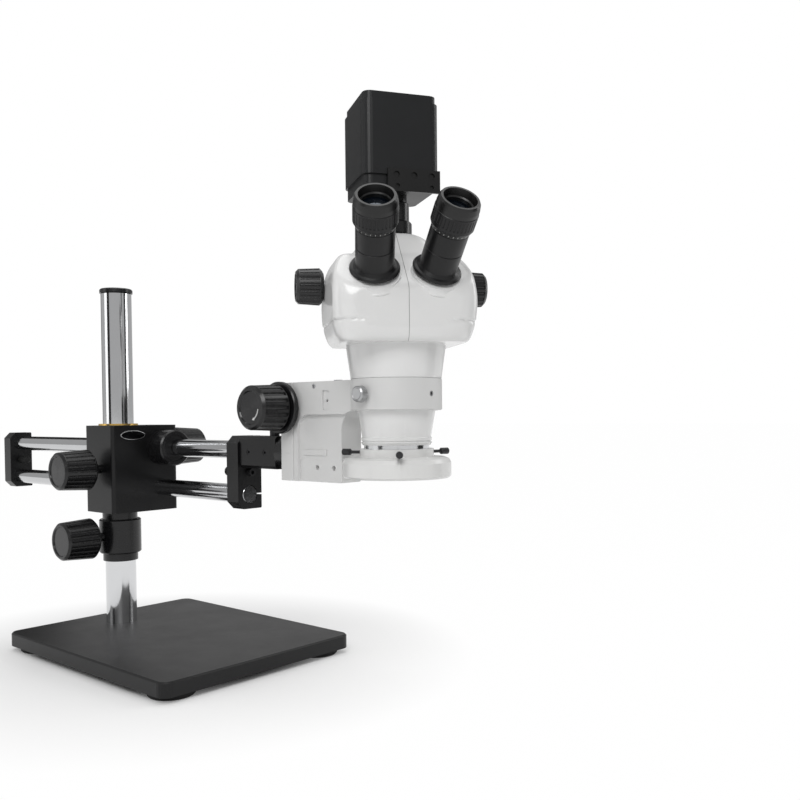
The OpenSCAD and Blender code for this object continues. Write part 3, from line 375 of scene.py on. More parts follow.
@dataclass(frozen=True)
class Finish:
    """A finish: its colour, its gloss, its grain, its tool lines and a painted sheen on faces that look up."""

    name: str
    colour: tuple[float, float, float]
    roughness: float = 0.4
    metallic: float = 0.0
    coat: float = 0.0
    specular: float = 0.5
    grain: float = 0.5
    depth: float = 0.05
    tone_spread: float = 0.12
    gloss_spread: float = 0.1
    pattern: Pattern = Pattern.NONE
    pitch: float = 0.3
    line_depth: float = 0.02
    # painted sheen on faces that look up: how much of it, and the grey it lightens them towards
    painted_sheen: float = 0.0
    painted_sheen_colour: tuple[float, float, float] = (0.32, 0.31, 0.3)

    def material(self, place: Place = MODEL) -> bpy.types.Material:
        """Builds the material for a piece whose pattern follows a frame.

        Args:
            place: the frame whose z axis the tool lines follow.

        Returns:
            The node material.
        """
        made = bpy.data.materials.new(self.name)
        made.use_nodes = True
        graph = Graph(made.node_tree)
        shader = made.node_tree.nodes["Principled BSDF"]
        origin = tuple(c * MM for c in place.origin)
        coords = graph.add("ShaderNodeTexCoord").outputs["Object"]
        local = graph.add("ShaderNodeMapping", {"Vector": coords, "Location": origin, "Rotation": place.euler()}, vector_type="TEXTURE").outputs[0]
        grain = GRAIN.place(graph, Vector=local, Colour=(*self.colour, 1.0), Grain_size=self.grain, Tone_spread=self.tone_spread, Roughness=self.roughness, Roughness_spread=self.gloss_spread)
        colour, rough, height = grain.outputs["Colour"], grain.outputs["Roughness"], graph.math("MULTIPLY", grain.outputs["Height"], self.depth * MM)
        if self.pattern is not Pattern.NONE:
            lines = LINES.place(graph, Vector=local, Pitch=self.pitch, Round=1.0 if self.pattern is Pattern.ROUND else 0.0)
            height = graph.math("ADD", height, graph.math("MULTIPLY", lines.outputs["Height"], self.line_depth * MM))
            rough = graph.math("ADD", rough, graph.math("MULTIPLY", graph.math("SUBTRACT", lines.outputs["Tone"], 0.5), self.gloss_spread), clamp=True)
        colour, rough, height = self.detail(graph, local, colour, rough, height)
        # painted sheen: faces that look up are mixed towards a lighter grey and made rougher
        if self.painted_sheen:
            sheen_mask = PAINTED_SHEEN.place(graph, Vector=coords, Amount=self.painted_sheen).outputs[0]
            colour = graph.mix(sheen_mask, colour, (*self.painted_sheen_colour, 1.0))
            rough = graph.math("ADD", rough, graph.math("MULTIPLY", sheen_mask, 0.5), clamp=True)
        bump = graph.add("ShaderNodeBump", {"Height": height, "Strength": 1.0, "Distance": 1.0})
        graph.tree.links.new(colour, shader.inputs["Base Color"])
        graph.tree.links.new(rough, shader.inputs["Roughness"])
        graph.tree.links.new(bump.outputs[0], shader.inputs["Normal"])
        shader.inputs["Metallic"].default_value = self.metallic
        shader.inputs["Coat Weight"].default_value = self.coat
        shader.inputs["Coat Roughness"].default_value = 0.08
        shader.inputs["Specular IOR Level"].default_value = self.specular
        self.close(graph, shader, local)
        return made

    def detail(self, graph: Graph, local: bpy.types.NodeSocket, colour: bpy.types.NodeSocket, rough: bpy.types.NodeSocket, height: bpy.types.NodeSocket) -> tuple[bpy.types.NodeSocket, ...]:
        """Adds a finish's own marks; a plain finish has none."""
        return colour, rough, height

    def close(self, graph: Graph, shader: bpy.types.Node, local: bpy.types.NodeSocket) -> None:
        """Sets what only some finishes need on the shader; a plain finish needs nothing."""

    def on(self, name: str, place: Place = MODEL) -> None:
        """Gives a CAD node this finish through its object's slots."""
        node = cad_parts[name]
        made = self.material(place)
        for held in node.material_slots:
            held.link = "OBJECT"
            held.material = made

    def over(self, piece: bpy.types.Object, body: str, slot: str, place: Place = MODEL) -> bpy.types.Object:
        """Gives a new piece this finish and its body."""
        piece.data.materials.append(self.material(place))
        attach(piece, body)
        log.info("made %s, on %s", piece.name, body)
        return piece


def band(graph: Graph, value: bpy.types.NodeSocket, middle: float, half: float, soft: float) -> bpy.types.NodeSocket:
    """A mask that is 1 within half of the middle and falls to 0 over soft, all in metres."""
    off = graph.math("ABSOLUTE", graph.math("SUBTRACT", value, middle))
    return graph.math("SUBTRACT", 1.0, graph.math("DIVIDE", graph.math("SUBTRACT", off, half), soft), clamp=True)


@dataclass(frozen=True)
class ShellEnamel(Finish):
    """White enamel with the parting line of the two shell halves."""

    parting: float = 0.16

    def detail(self, graph: Graph, local: bpy.types.NodeSocket, colour: bpy.types.NodeSocket, rough: bpy.types.NodeSocket, height: bpy.types.NodeSocket) -> tuple[bpy.types.NodeSocket, ...]:
        """Darkens and sinks a thin line where y is 0."""
        line = band(graph, graph.split(local)[1], 0.0, self.parting * MM, 0.12 * MM)
        colour = graph.mix(graph.math("MULTIPLY", line, 0.8), colour, (0.2, 0.2, 0.2, 1.0))
        return colour, rough, graph.math("SUBTRACT", height, graph.math("MULTIPLY", line, 0.3 * MM))


@dataclass(frozen=True)
class TickedBlack(Finish):
    """Black anodising with a row of white ticks round its lower rim."""

    ticks: int = 24
    tick_at: float = 4.0
    tick_long: float = 0.75

    def detail(self, graph: Graph, local: bpy.types.NodeSocket, colour: bpy.types.NodeSocket, rough: bpy.types.NodeSocket, height: bpy.types.NodeSocket) -> tuple[bpy.types.NodeSocket, ...]:
        """A tick wherever the angle's fraction of a step is near a half and the height is in the row."""
        x, y, z = graph.split(local)
        turn = graph.math("MULTIPLY", graph.math("ARCTAN2", y, x), self.ticks / (2 * math.pi))
        part = graph.math("FRACT", turn)
        mark = graph.math("LESS_THAN", graph.math("ABSOLUTE", graph.math("SUBTRACT", part, 0.5)), 0.06)
        row = band(graph, z, self.tick_at * MM, self.tick_long * MM, 0.1 * MM)
        return graph.mix(graph.math("MULTIPLY", mark, row), colour, (0.42, 0.42, 0.41, 1.0)), rough, height


@dataclass(frozen=True)
class KnobPlastic(Finish):
    """Moulded plastic whose end disc is smoother than its grip, with turned rings in the disc."""

    disc: float = 17.0
    face: float = 44.0

    def detail(self, graph: Graph, local: bpy.types.NodeSocket, colour: bpy.types.NodeSocket, rough: bpy.types.NodeSocket, height: bpy.types.NodeSocket) -> tuple[bpy.types.NodeSocket, ...]:
        """Lowers the roughness inside the disc's radius near the face, and rings it finely."""
        x, y, z = graph.split(local)
        radius = graph.math("SQRT", graph.math("ADD", graph.math("MULTIPLY", x, x), graph.math("MULTIPLY", y, y)))
        inside = graph.math("MULTIPLY", graph.math("LESS_THAN", radius, self.disc * MM), graph.math("GREATER_THAN", z, (self.face - 2.0) * MM))
        rings = graph.math("SINE", graph.math("MULTIPLY", radius, 2 * math.pi / (0.55 * MM)))
        rough = graph.math("SUBTRACT", rough, graph.math("MULTIPLY", inside, 0.16), clamp=True)
        colour = graph.mix(graph.math("MULTIPLY", inside, 0.6), colour, (0.011, 0.011, 0.012, 1.0))
        return colour, rough, graph.math("ADD", height, graph.math("MULTIPLY", graph.math("MULTIPLY", rings, inside), 0.006 * MM))


@dataclass(frozen=True)
class LensGlass(Finish):
    """Dark coated glass: a deep tint at its middle and a violet or green sheen at grazing angles."""

    sheen: tuple[float, float, float] = (0.2, 0.3, 0.42)

    def close(self, graph: Graph, shader: bpy.types.Node, local: bpy.types.NodeSocket) -> None:
        """Puts the coating's colour on the shader's own coat."""
        shader.inputs["Coat Weight"].default_value = 1.0
        shader.inputs["Coat Roughness"].default_value = 0.03
        shader.inputs["Coat Tint"].default_value = (*self.sheen, 1.0)
        shader.inputs["IOR"].default_value = 1.52


@dataclass(frozen=True)
class BlankBadge(Finish):
    """A metal oval whose sunk face is dark and blank inside a bright rim."""

    half: tuple[float, float] = (16.0, 5.6)
    rim: float = 0.9

    def detail(self, graph: Graph, local: bpy.types.NodeSocket, colour: bpy.types.NodeSocket, rough: bpy.types.NodeSocket, height: bpy.types.NodeSocket) -> tuple[bpy.types.NodeSocket, ...]:
        """Darkens where (x / a)^2 + (y / b)^2 is under 1, with a and b the half lengths less the rim."""
        x, y, _ = graph.split(local)
        a, b = ((side - self.rim) * MM for side in self.half)
        inside = graph.math("ADD", graph.math("POWER", graph.math("DIVIDE", x, a), 2.0), graph.math("POWER", graph.math("DIVIDE", y, b), 2.0))
        face = graph.math("LESS_THAN", inside, 1.0)
        return graph.mix(face, colour, (0.012, 0.012, 0.013, 1.0)), rough, height


@dataclass(frozen=True)
class LedWindow(Finish):
    """A milky window over two rings of lamps, which show as brighter, yellower rings."""

    rings: tuple[float, float] = (36.6, 42.6)
    count: int = 24

    def detail(self, graph: Graph, local: bpy.types.NodeSocket, colour: bpy.types.NodeSocket, rough: bpy.types.NodeSocket, height: bpy.types.NodeSocket) -> tuple[bpy.types.NodeSocket, ...]:
        """Tints the window a brighter, yellower colour over the two lamp rings."""
        x, y, _ = graph.split(local)
        radius = graph.math("SQRT", graph.math("ADD", graph.math("MULTIPLY", x, x), graph.math("MULTIPLY", y, y)))
        near = graph.math("MAXIMUM", band(graph, radius, self.rings[0] * MM, 1.4 * MM, 1.0 * MM), band(graph, radius, self.rings[1] * MM, 1.4 * MM, 1.0 * MM))
        return graph.mix(near, colour, (0.95, 0.92, 0.68, 1.0)), rough, height


# The base coat and the black anodising carry a painted sheen on faces that look up.
BASE_COAT = Finish("Base powder coat", (0.0075, 0.0075, 0.008), 0.36, specular=0.3, grain=0.7, depth=0.05, tone_spread=0.3, gloss_spread=0.14, painted_sheen=0.02)
RUBBER = Finish("Foot rubber", (0.008, 0.008, 0.008), 0.7, specular=0.3, grain=0.5, depth=0.08)
CHROME = Finish("Ground chrome", (0.66, 0.665, 0.675), 0.09, 1.0, grain=1.5, depth=0.0, tone_spread=0.04, gloss_spread=0.06, pattern=Pattern.ALONG, pitch=0.5, line_depth=0.003)
ROD_CHROME = Finish("Ground rod steel", (0.55, 0.555, 0.565), 0.11, 1.0, grain=1.5, depth=0.0, tone_spread=0.05, gloss_spread=0.06, pattern=Pattern.ALONG, pitch=0.5, line_depth=0.003)
NOSE_CHROME = Finish("Turned nose metal", (0.62, 0.625, 0.635), 0.18, 1.0, grain=1.0, depth=0.0, tone_spread=0.06, pattern=Pattern.ROUND, pitch=0.5, line_depth=0.01)
KNOB_STEEL = Finish("Knurled steel", (0.42, 0.425, 0.43), 0.38, 1.0, grain=0.5, depth=0.01, tone_spread=0.1, pattern=Pattern.ROUND, pitch=0.5, line_depth=0.01)
SATIN_BLACK = Finish("Black anodising", (0.006, 0.006, 0.0065), 0.3, specular=0.3, grain=0.45, depth=0.014, tone_spread=0.25, gloss_spread=0.1, painted_sheen=0.012)
TURNED_BLACK = Finish("Turned black metal", (0.007, 0.007, 0.0075), 0.26, specular=0.4, grain=0.5, depth=0.008, pattern=Pattern.ROUND, pitch=0.5, line_depth=0.012)
BRASS = Finish("Turned brass", (0.7, 0.46, 0.14), 0.26, 1.0, grain=0.8, depth=0.0, tone_spread=0.1, pattern=Pattern.ROUND, pitch=0.4, line_depth=0.012)
STEEL = Finish("Screw steel", (0.45, 0.455, 0.465), 0.3, 1.0, grain=0.6, depth=0.01, tone_spread=0.14, gloss_spread=0.14)
DARK_STEEL = Finish("Blackened screws", (0.03, 0.03, 0.032), 0.3, 0.5, specular=0.3, grain=0.5, depth=0.01, tone_spread=0.2, gloss_spread=0.12)
MOUNT_PAINT = Finish("Mount paint", (0.66, 0.66, 0.655), 0.42, specular=0.4, grain=0.55, depth=0.02, tone_spread=0.03, gloss_spread=0.08)
GLOSS_WHITE = Finish("White enamel", (0.76, 0.76, 0.755), 0.22, coat=0.3, grain=1.3, depth=0.008, tone_spread=0.02, gloss_spread=0.06)
SHELL_WHITE = ShellEnamel("Shell enamel", (0.76, 0.76, 0.755), 0.22, coat=0.3, grain=1.3, depth=0.008, tone_spread=0.02, gloss_spread=0.06)
EYE_BLACK = Finish("Eyepiece black", (0.0055, 0.0055, 0.006), 0.34, specular=0.35, grain=0.35, depth=0.01, pattern=Pattern.ROUND, pitch=0.5, line_depth=0.008)
DIOPTER_BLACK = TickedBlack("Diopter black", (0.0055, 0.0055, 0.006), 0.36, specular=0.35, grain=0.35, depth=0.01)
CUP_RUBBER = Finish("Eyecup rubber", (0.005, 0.005, 0.005), 0.34, specular=0.45, grain=0.6, depth=0.02)
CAMERA_BLACK = Finish("Camera anodising", (0.0055, 0.006, 0.0068), 0.4, specular=0.35, grain=0.5, depth=0.03, tone_spread=0.25, gloss_spread=0.1)
PANEL_BLACK = Finish("Socket panel", (0.006, 0.006, 0.006), 0.35, specular=0.35, grain=0.4, depth=0.02)
LIGHT_WHITE = Finish("Ring light plastic", (0.74, 0.74, 0.73), 0.3, coat=0.25, grain=0.9, depth=0.015, tone_spread=0.025, gloss_spread=0.06)
LED_WINDOW = LedWindow("Lamp window", (0.86, 0.85, 0.8), 0.35, grain=0.9, depth=0.03)
GLASS = LensGlass("Coated glass", (0.012, 0.015, 0.02), 0.03, grain=4.0, depth=0.0)
INNER_BLACK = Finish("Inner black", (0.012, 0.012, 0.012), 0.6, grain=0.5, depth=0.03)
THUMB_BLACK = Finish("Blackened thumbscrew", (0.03, 0.03, 0.032), 0.3, 0.5, grain=0.4, depth=0.02, pattern=Pattern.ALONG, pitch=0.5, line_depth=0.15)
PLAIN_MARK = Finish("White marking", (0.62, 0.62, 0.61), 0.5, grain=0.4, depth=0.01)
BADGE_SILVER = BlankBadge("Blank badge", (0.5, 0.505, 0.51), 0.3, 1.0, grain=0.5, depth=0.01)


def axis_place(origin: tuple[float, float, float], along: tuple[float, float, float]) -> Place:
    """A frame at a point with its z axis along a direction.

    Args:
        origin: the point, in millimetres.
        along: the direction of z, of length 1.

    Returns:
        The frame.
    """
    turn = Vector(along).to_track_quat("Z", "Y").to_matrix().transposed()
    return Place(origin, tuple(turn[0]), tuple(turn[1]), tuple(turn[2]))


def middle(name: str) -> Vector:
    """The middle of a CAD node's box, in millimetres."""
    low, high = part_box(name)
    return (low + high) / 2 / MM


@dataclass
class Stand:
    """The base, the column, the carrier and the boom, with the carrier's blank badge."""

    rod_y: float = 39.0
    upper_rod: float = 228.0
    lower_rod: float = 180.0
    badge_centre: tuple[float, float, float] = (30.0, 0.5, 243.5)
    badge_half: tuple[float, float] = (16.0, 5.6)

    def knobs(self) -> None:
        """Dresses the three side knobs, each with its frame on its own shaft."""
        for name, along in (("collar_knob", (0.0, -1.0, 0.0)), ("clamp_knob", (0.0, -1.0, 0.0)), ("rod_lock_knob", (0.0, 1.0, 0.0))):
            low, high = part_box(name)
            face = (low.y if along[1] < 0 else high.y) / MM
            mid = middle(name)
            KnobPlastic("Side knob plastic", (0.0055, 0.0055, 0.006), 0.27, specular=0.45, grain=0.5, depth=0.012, disc=16.8, face=44.0).on(name, axis_place((mid.x, face - 44.0 * along[1], mid.z), along))

    def badge(self) -> bpy.types.Object:
        """A low oval plate on the block's face, with nothing on it, inside a raised rim."""
        cx, cy, cz = self.badge_centre
        spot = Place((cx, cy, cz), (0.0, 1.0, 0.0), (0.0, 0.0, 1.0), (1.0, 0.0, 0.0))
        angle = np.linspace(0.0, 2 * math.pi, 72, endpoint=False)
        outline = np.stack([self.badge_half[0] * np.cos(angle), self.badge_half[1] * np.sin(angle)], 1)
        piece = plate("blank_badge", spot, outline, 0.7, 0.35)
        return BADGE_SILVER.over(piece, "carrier", "screw_steel", spot)

    def build(self) -> None:
        """Dresses every node of the stand and adds its badge."""
        BASE_COAT.on("base_plate")
        RUBBER.on("feet")
        RUBBER.on("bumpers")
        CHROME.on("column")
        TURNED_BLACK.on("column_cap")
        TURNED_BLACK.on("stop_collar")
        for name in ("carrier_block", "rear_end_plate", "front_end_plate", "pivot_block"):
            SATIN_BLACK.on(name)
        TURNED_BLACK.on("bearing_tube", axis_place((0.0, self.rod_y, self.upper_rod), (1.0, 0.0, 0.0)))
        BRASS.on("column_bush")
        for name, z in (("upper_rod", self.upper_rod), ("lower_rod", self.lower_rod)):
            ROD_CHROME.on(name, axis_place((0.0, self.rod_y, z), (1.0, 0.0, 0.0)))
        STEEL.on("column_bolt")
        DARK_STEEL.on("boom_screws")
        SATIN_BLACK.on("ball_bushings")
        self.knobs()
        self.badge()
        log.info("dressed the stand")


@dataclass
class FocusMount:
    """The tilting focus mount with its knobs, slider and ring holder."""

    shaft: tuple[float, float, float] = (273.2, 39.0, 272.5)
    face_y: float = -23.4
    arc_radius: float = 12.2
    arc_from: float = -5.0
    arc_to: float = -75.0

    def arrow(self) -> bpy.types.Object:
        """A plain curved arrow on the focus knob's disc.

        Its band runs at a steady radius while its half width stays even, then swells and shrinks to a
        point over the last part of the sweep, which draws the head. The band is a closed strip: four
        corners of its section for each angle.

        Returns:
            The arrow, riding with the focus knobs.
        """
        part = np.linspace(0.0, 1.0, 60)
        angle = np.radians(self.arc_from + (self.arc_to - self.arc_from) * part)
        half = np.where(part < 0.78, 0.55, 1.7 * (1.0 - (part - 0.78) / 0.22) + 0.02)
        half = np.where(part < 0.02, 0.02, half)
        corners = []
        for side, lift in ((-1, 0.0), (1, 0.0), (1, 0.14), (-1, 0.14)):
            radius = self.arc_radius + side * half
            corners.append(np.stack([radius * np.cos(angle), radius * np.sin(angle), np.full_like(angle, lift)], 1))
        grid = np.stack(corners, 1)
        ends = [np.repeat(grid[:1].mean(1, keepdims=True), 4, 1), grid, np.repeat(grid[-1:].mean(1, keepdims=True), 4, 1)]
        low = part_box("focus_knob_left")[0]
        spot = axis_place((self.shaft[0], low.y / MM + 1.2, self.shaft[2]), (0.0, -1.0, 0.0))
        piece = surface("focus_arrow", spot.put(np.concatenate(ends)), (False, True))
        return PLAIN_MARK.over(piece, "focus_drive", "mount_paint", spot)

    def build(self) -> None:
        """Dresses the mount and adds the arrow."""
        pinion = middle("pinion_shaft")
        for name, along in (("focus_knob_left", (0.0, -1.0, 0.0)), ("focus_knob_right", (0.0, 1.0, 0.0))):
            low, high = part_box(name)
            face = (low.y if along[1] < 0 else high.y) / MM
            spot = axis_place((pinion.x, face - 35.0 * along[1], pinion.z), along)
            KnobPlastic("Focus knob plastic", (0.0055, 0.0055, 0.006), 0.27, specular=0.45, grain=0.5, depth=0.012, disc=16.4, face=35.0).on(name, spot)
        TURNED_BLACK.on("tension_collar", axis_place((pinion.x, 20.0, pinion.z), (0.0, -1.0, 0.0)))
        TURNED_BLACK.on("tilt_stub", axis_place((254.0, 39.0, 226.5), (1.0, 0.0, 0.0)))
        for name in ("focus_housing", "focus_slider", "ring_holder"):
            MOUNT_PAINT.on(name)
        for name in ("pinion_shaft", "focus_rack", "arm_screws"):
            STEEL.on(name)
        ring = middle("ring_knob")
        KNOB_STEEL.on("ring_knob", axis_place((ring.x, ring.y, ring.z), (0.0, -1.0, 0.0)))
        self.arrow()
        log.info("dressed the focus mount")


@dataclass
class Head:
    """The microscope's head: its shell, barrel, zoom knobs and eyepieces."""

    axis: tuple[float, float] = (408.7, 39.0)
    turn: float = -37.0
    bottom: float = 327.5
    centre: tuple[float, float, float] = (4.0, 0.0, 48.0)
    seat: tuple[float, float, float] = (45.0, 27.0, 384.5)
    tilt: float = 46.0
    splay: float = 6.0
    lift: float = 3.4
    edge_power: float = 18.0
    grid: tuple[int, int] = (190, 340)
    body_faces: tuple[tuple[float, float, float, float], ...] = (
        (0.0, 0.0, -1.0, 48.0), (1.0, 0.0, 0.06, 55.5), (0.7071, 0.0, 0.7071, 38.6), (-1.0, 0.0, 0.0, 48.0),
        (0.0, 1.0, 0.0, 64.0), (0.0, -1.0, 0.0, 64.0), (0.0, 0.83, 0.55, 62.5), (0.0, -0.83, 0.55, 62.5), (0.0, 0.0, 1.0, 31.5),
        (0.83, 0.56, 0.0, 74.0), (0.83, -0.56, 0.0, 74.0), (-0.78, 0.63, 0.0, 72.0), (-0.78, -0.63, 0.0, 72.0),
    )
    hump_faces: tuple[tuple[float, float, float, float], ...] = (
        (0.0, 0.0, -1.0, 48.0), (0.7071, 0.0, 0.7071, 38.6), (-1.0, 0.0, 0.0, 48.0), (0.0, 0.0, 1.0, 56.0),
        (0.0, 0.70, 0.714, 54.5), (0.0, -0.70, 0.714, 54.5), (0.94, 0.0, 0.34, 34.5), (-0.7, 0.0, 0.7, 69.0),
        (0.0, 0.97, 0.24, 47.0), (0.0, -0.97, 0.24, 47.0),
    )

    def place(self) -> Place:
        """The head's frame: x the way the eyepieces face, y its right, z up."""
        return Place((self.axis[0], self.axis[1], 0.0)).turned(spin(self.turn, "Z"), (0.0, 0.0, 0.0))

    def seat_place(self, side: int) -> Place:
        """The frame on an eye tube's seat, z along the tube.

        Args:
            side: -1 for the left tube and 1 for the right.

        Returns:
            The frame.
        """
        rows = spin(-side * self.splay, "X") @ spin(self.tilt, "Y")
        lifted = np.asarray((self.seat[0], side * self.seat[1], self.seat[2])) + self.lift * rows[2]
        return self.place().turned(rows, lifted)

    def reach(self, ways: np.ndarray, faces: tuple[tuple[float, float, float, float], ...], power: float) -> np.ndarray:
        """How far a soft-edged solid reaches from its centre.

        For each direction the solid's faces give ratios of the direction's lean to the face's
        distance; their power mean is the inverse of the reach, so edges come out rounded.

        Args:
            ways: unit directions, any shape by 3.
            faces: a normal and a distance for each face.
            power: higher gives crisper edges.

        Returns:
            The distances in millimetres.
        """
        plan = np.asarray(faces)
        normals = plan[:, :3] / np.linalg.norm(plan[:, :3], axis=1, keepdims=True)
        ratios = np.clip(ways @ normals.T / plan[:, 3], 0.0, None)
        return (ratios**power).sum(-1) ** (-1.0 / power)

    def shell(self) -> bpy.types.Object:
        """The head's shell as one skin round a middle point.

        The reach in each direction is the larger of the body's and the hump's, eased together. Then
        the skirt below the crease draws in, a fine crease runs round it, and the flanks swell a little.

        Returns:
            The shell, which stands for both CAD halves.
        """
        polar = np.linspace(0.0, math.pi, self.grid[0])[:, None]
        around = np.linspace(0.0, 2 * math.pi, self.grid[1], endpoint=False)[None, :]
        ways = np.stack([np.sin(polar) * np.cos(around), np.sin(polar) * np.sin(around), np.cos(polar) + 0.0 * around], -1)
        body = self.reach(ways, self.body_faces, self.edge_power)
        hump = self.reach(ways, self.hump_faces, self.edge_power)
        far = (body**34 + hump**34) ** (1 / 34)
        points = ways * far[..., None] + np.asarray(self.centre)
        z = points[..., 2]
        skirt = 1.0 - 0.06 * (1.0 - smooth_step(z, -2.0, 17.5)) - 0.012 * (1.0 - smooth_step(z, 17.0, 19.5))
        crease = 0.02 * np.exp(-(((z - 18.2) / 0.8) ** 2))
        swell = 0.026 * np.exp(-(((z - 36.0) / 14.0) ** 2))
        scale = skirt - crease + swell
        points[..., 0] = (points[..., 0] - 0.0) * scale
        points[..., 1] *= scale
        points[..., 1] = np.clip(points[..., 1], -64.0, 64.0)
        points[..., 0] = np.clip(points[..., 0], -44.0, 60.0)
        points[..., 2] = np.clip(points[..., 2], 0.0, 104.0) + self.bottom
        piece = surface("head_shell", self.place().put(points), (False, True), sharp=60.0)
        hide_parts("head_shell_left", "head_shell_right")
        return SHELL_WHITE.over(piece, "head", "head_gloss", self.place())

    def seat_rim(self, side: int) -> bpy.types.Object:
        """The raised round seat under an eye tube's flange, flaring into the shell.

        Args:
            side: -1 for the left and 1 for the right.

        Returns:
            The turned seat.
        """
        flare = [(22.6 + 2.6 * (1 - math.cos(t)) / 1.0, -0.1 - 5.5 * math.sin(t)) for t in np.linspace(0.0, math.pi / 2, 9)]
        profile = [(14.0, 0.0), (22.0, 0.0), *flare, (24.0, -9.0), (14.0, -9.0)]
        name = "seat_rim_left" if side < 0 else "seat_rim_right"
        return GLOSS_WHITE.over(lathe(name, self.seat_place(side), profile), "head", "head_gloss", self.seat_place(side))

    def side_screw(self) -> bpy.types.Object:
        """A small socket screw sunk in the left flank: a domed head with a round pit in it."""
        spot = self.place().turned(np.array([(1.0, 0.0, 0.0), (0.0, 0.0, 1.0), (0.0, -1.0, 0.0)]), (30.0, -61.6, self.bottom + 38.0))
        profile = [(0.0, -1.5), (2.3, -1.5), (2.3, 0.7), (2.0, 1.0), (1.2, 1.1), (1.2, 0.2), (0.0, 0.2)]
        return STEEL.over(lathe("side_screw", spot, profile, 48), "head", "screw_steel", spot)

    def zoom_knobs(self) -> None:
        """Dresses the two zoom knobs, each in a frame on the cross shaft."""
        for name, side in (("zoom_knob_left", -1), ("zoom_knob_right", 1)):
            rows = np.array([(1.0, 0.0, 0.0), (0.0, 0.0, -side), (0.0, side, 0.0)])
            spot = self.place().turned(rows, (-18.0, side * 64.4, 382.5))
            KnobPlastic("Zoom knob plastic", (0.0055, 0.0055, 0.006), 0.27, specular=0.45, grain=0.5, depth=0.012, disc=12.2, face=25.0).on(name, spot)

    def eyepieces(self) -> None:
        """Dresses the eye tubes, diopter rings, eyecups and eye lenses."""
        for side, hand in ((-1, "left"), (1, "right")):
            spot = self.seat_place(side)
            EYE_BLACK.on(f"eye_tube_{hand}", spot)
            DIOPTER_BLACK.on(f"diopter_ring_{hand}", spot.turned(np.eye(3), (0.0, 0.0, 43.4)))
            CUP_RUBBER.on(f"eyecup_{hand}", spot)
            GLASS.on(f"eye_lens_{hand}", spot)

    def build(self) -> None:
        """Builds the shell and its seats and dresses the rest of the head."""
        self.shell()
        for side in (-1, 1):
            self.seat_rim(side)
        self.side_screw()
        spot = self.place()
        GLOSS_WHITE.on("head_barrel", spot)
        NOSE_CHROME.on("nose_ring", spot)
        GLASS.on("objective_lens", spot)
        GLASS.on("prisms", spot)
        INNER_BLACK.on("zoom_carriage", spot)
        STEEL.on("zoom_shaft", spot)
        self.zoom_knobs()
        self.eyepieces()
        log.info("dressed the head")


@dataclass
class CameraUnit:
    """The square camera on its port."""

    nodes: tuple[str, ...] = ("camera_sleeve", "camera_lid", "camera_base")

    def build(self, head: Head) -> None:
        """Dresses the camera, its port and its socket panel."""
        spot = head.place().turned(np.eye(3), (-18.0, 0.0, 0.0))
        for name in self.nodes:
            CAMERA_BLACK.on(name, spot)
        TURNED_BLACK.on("camera_port", spot)
        TURNED_BLACK.on("camera_mount", spot)
        PANEL_BLACK.on("port_panel", spot)
        log.info("dressed the camera")


@dataclass
class RingLight:
    """The ring light with its lamp window and thumbscrews."""

    turn: float = -9.0
    screws: tuple[tuple[str, float], ...] = (("front", 0.0), ("left", -120.0), ("right", 120.0))

    def build(self, head: Head) -> None:
        """Dresses the light and its thumbscrews."""
        spot = head.place()
        LIGHT_WHITE.on("ring_light", spot)
        LED_WINDOW.on("ring_light_leds", spot)
        for name, angle in self.screws:
            a = math.radians(head.turn + self.turn + angle)
            THUMB_BLACK.on(f"thumbscrew_{name}", axis_place((head.axis[0], head.axis[1], 229.75), (math.cos(a), math.sin(a), 0.0)))
        log.info("dressed the ring light")


@dataclass
class Softbox:
    """A square studio lamp aimed at a point."""

    name: str
    place: tuple[float, float, float]
    aim: tuple[float, float, float]
    size: tuple[float, float]
    power: float

    def build(self) -> bpy.types.Object:
        """Makes the lamp."""
        lamp = bpy.data.lights.new(self.name, "AREA")
        lamp.shape, lamp.size, lamp.size_y, lamp.energy = "RECTANGLE", self.size[0], self.size[1], self.power
        piece = bpy.data.objects.new(self.name, lamp)
        piece.location = self.place
        piece.rotation_euler = (Vector(self.aim) - Vector(self.place)).to_track_quat("-Z", "Y").to_euler()
        bpy.context.scene.collection.objects.link(piece)
        return piece


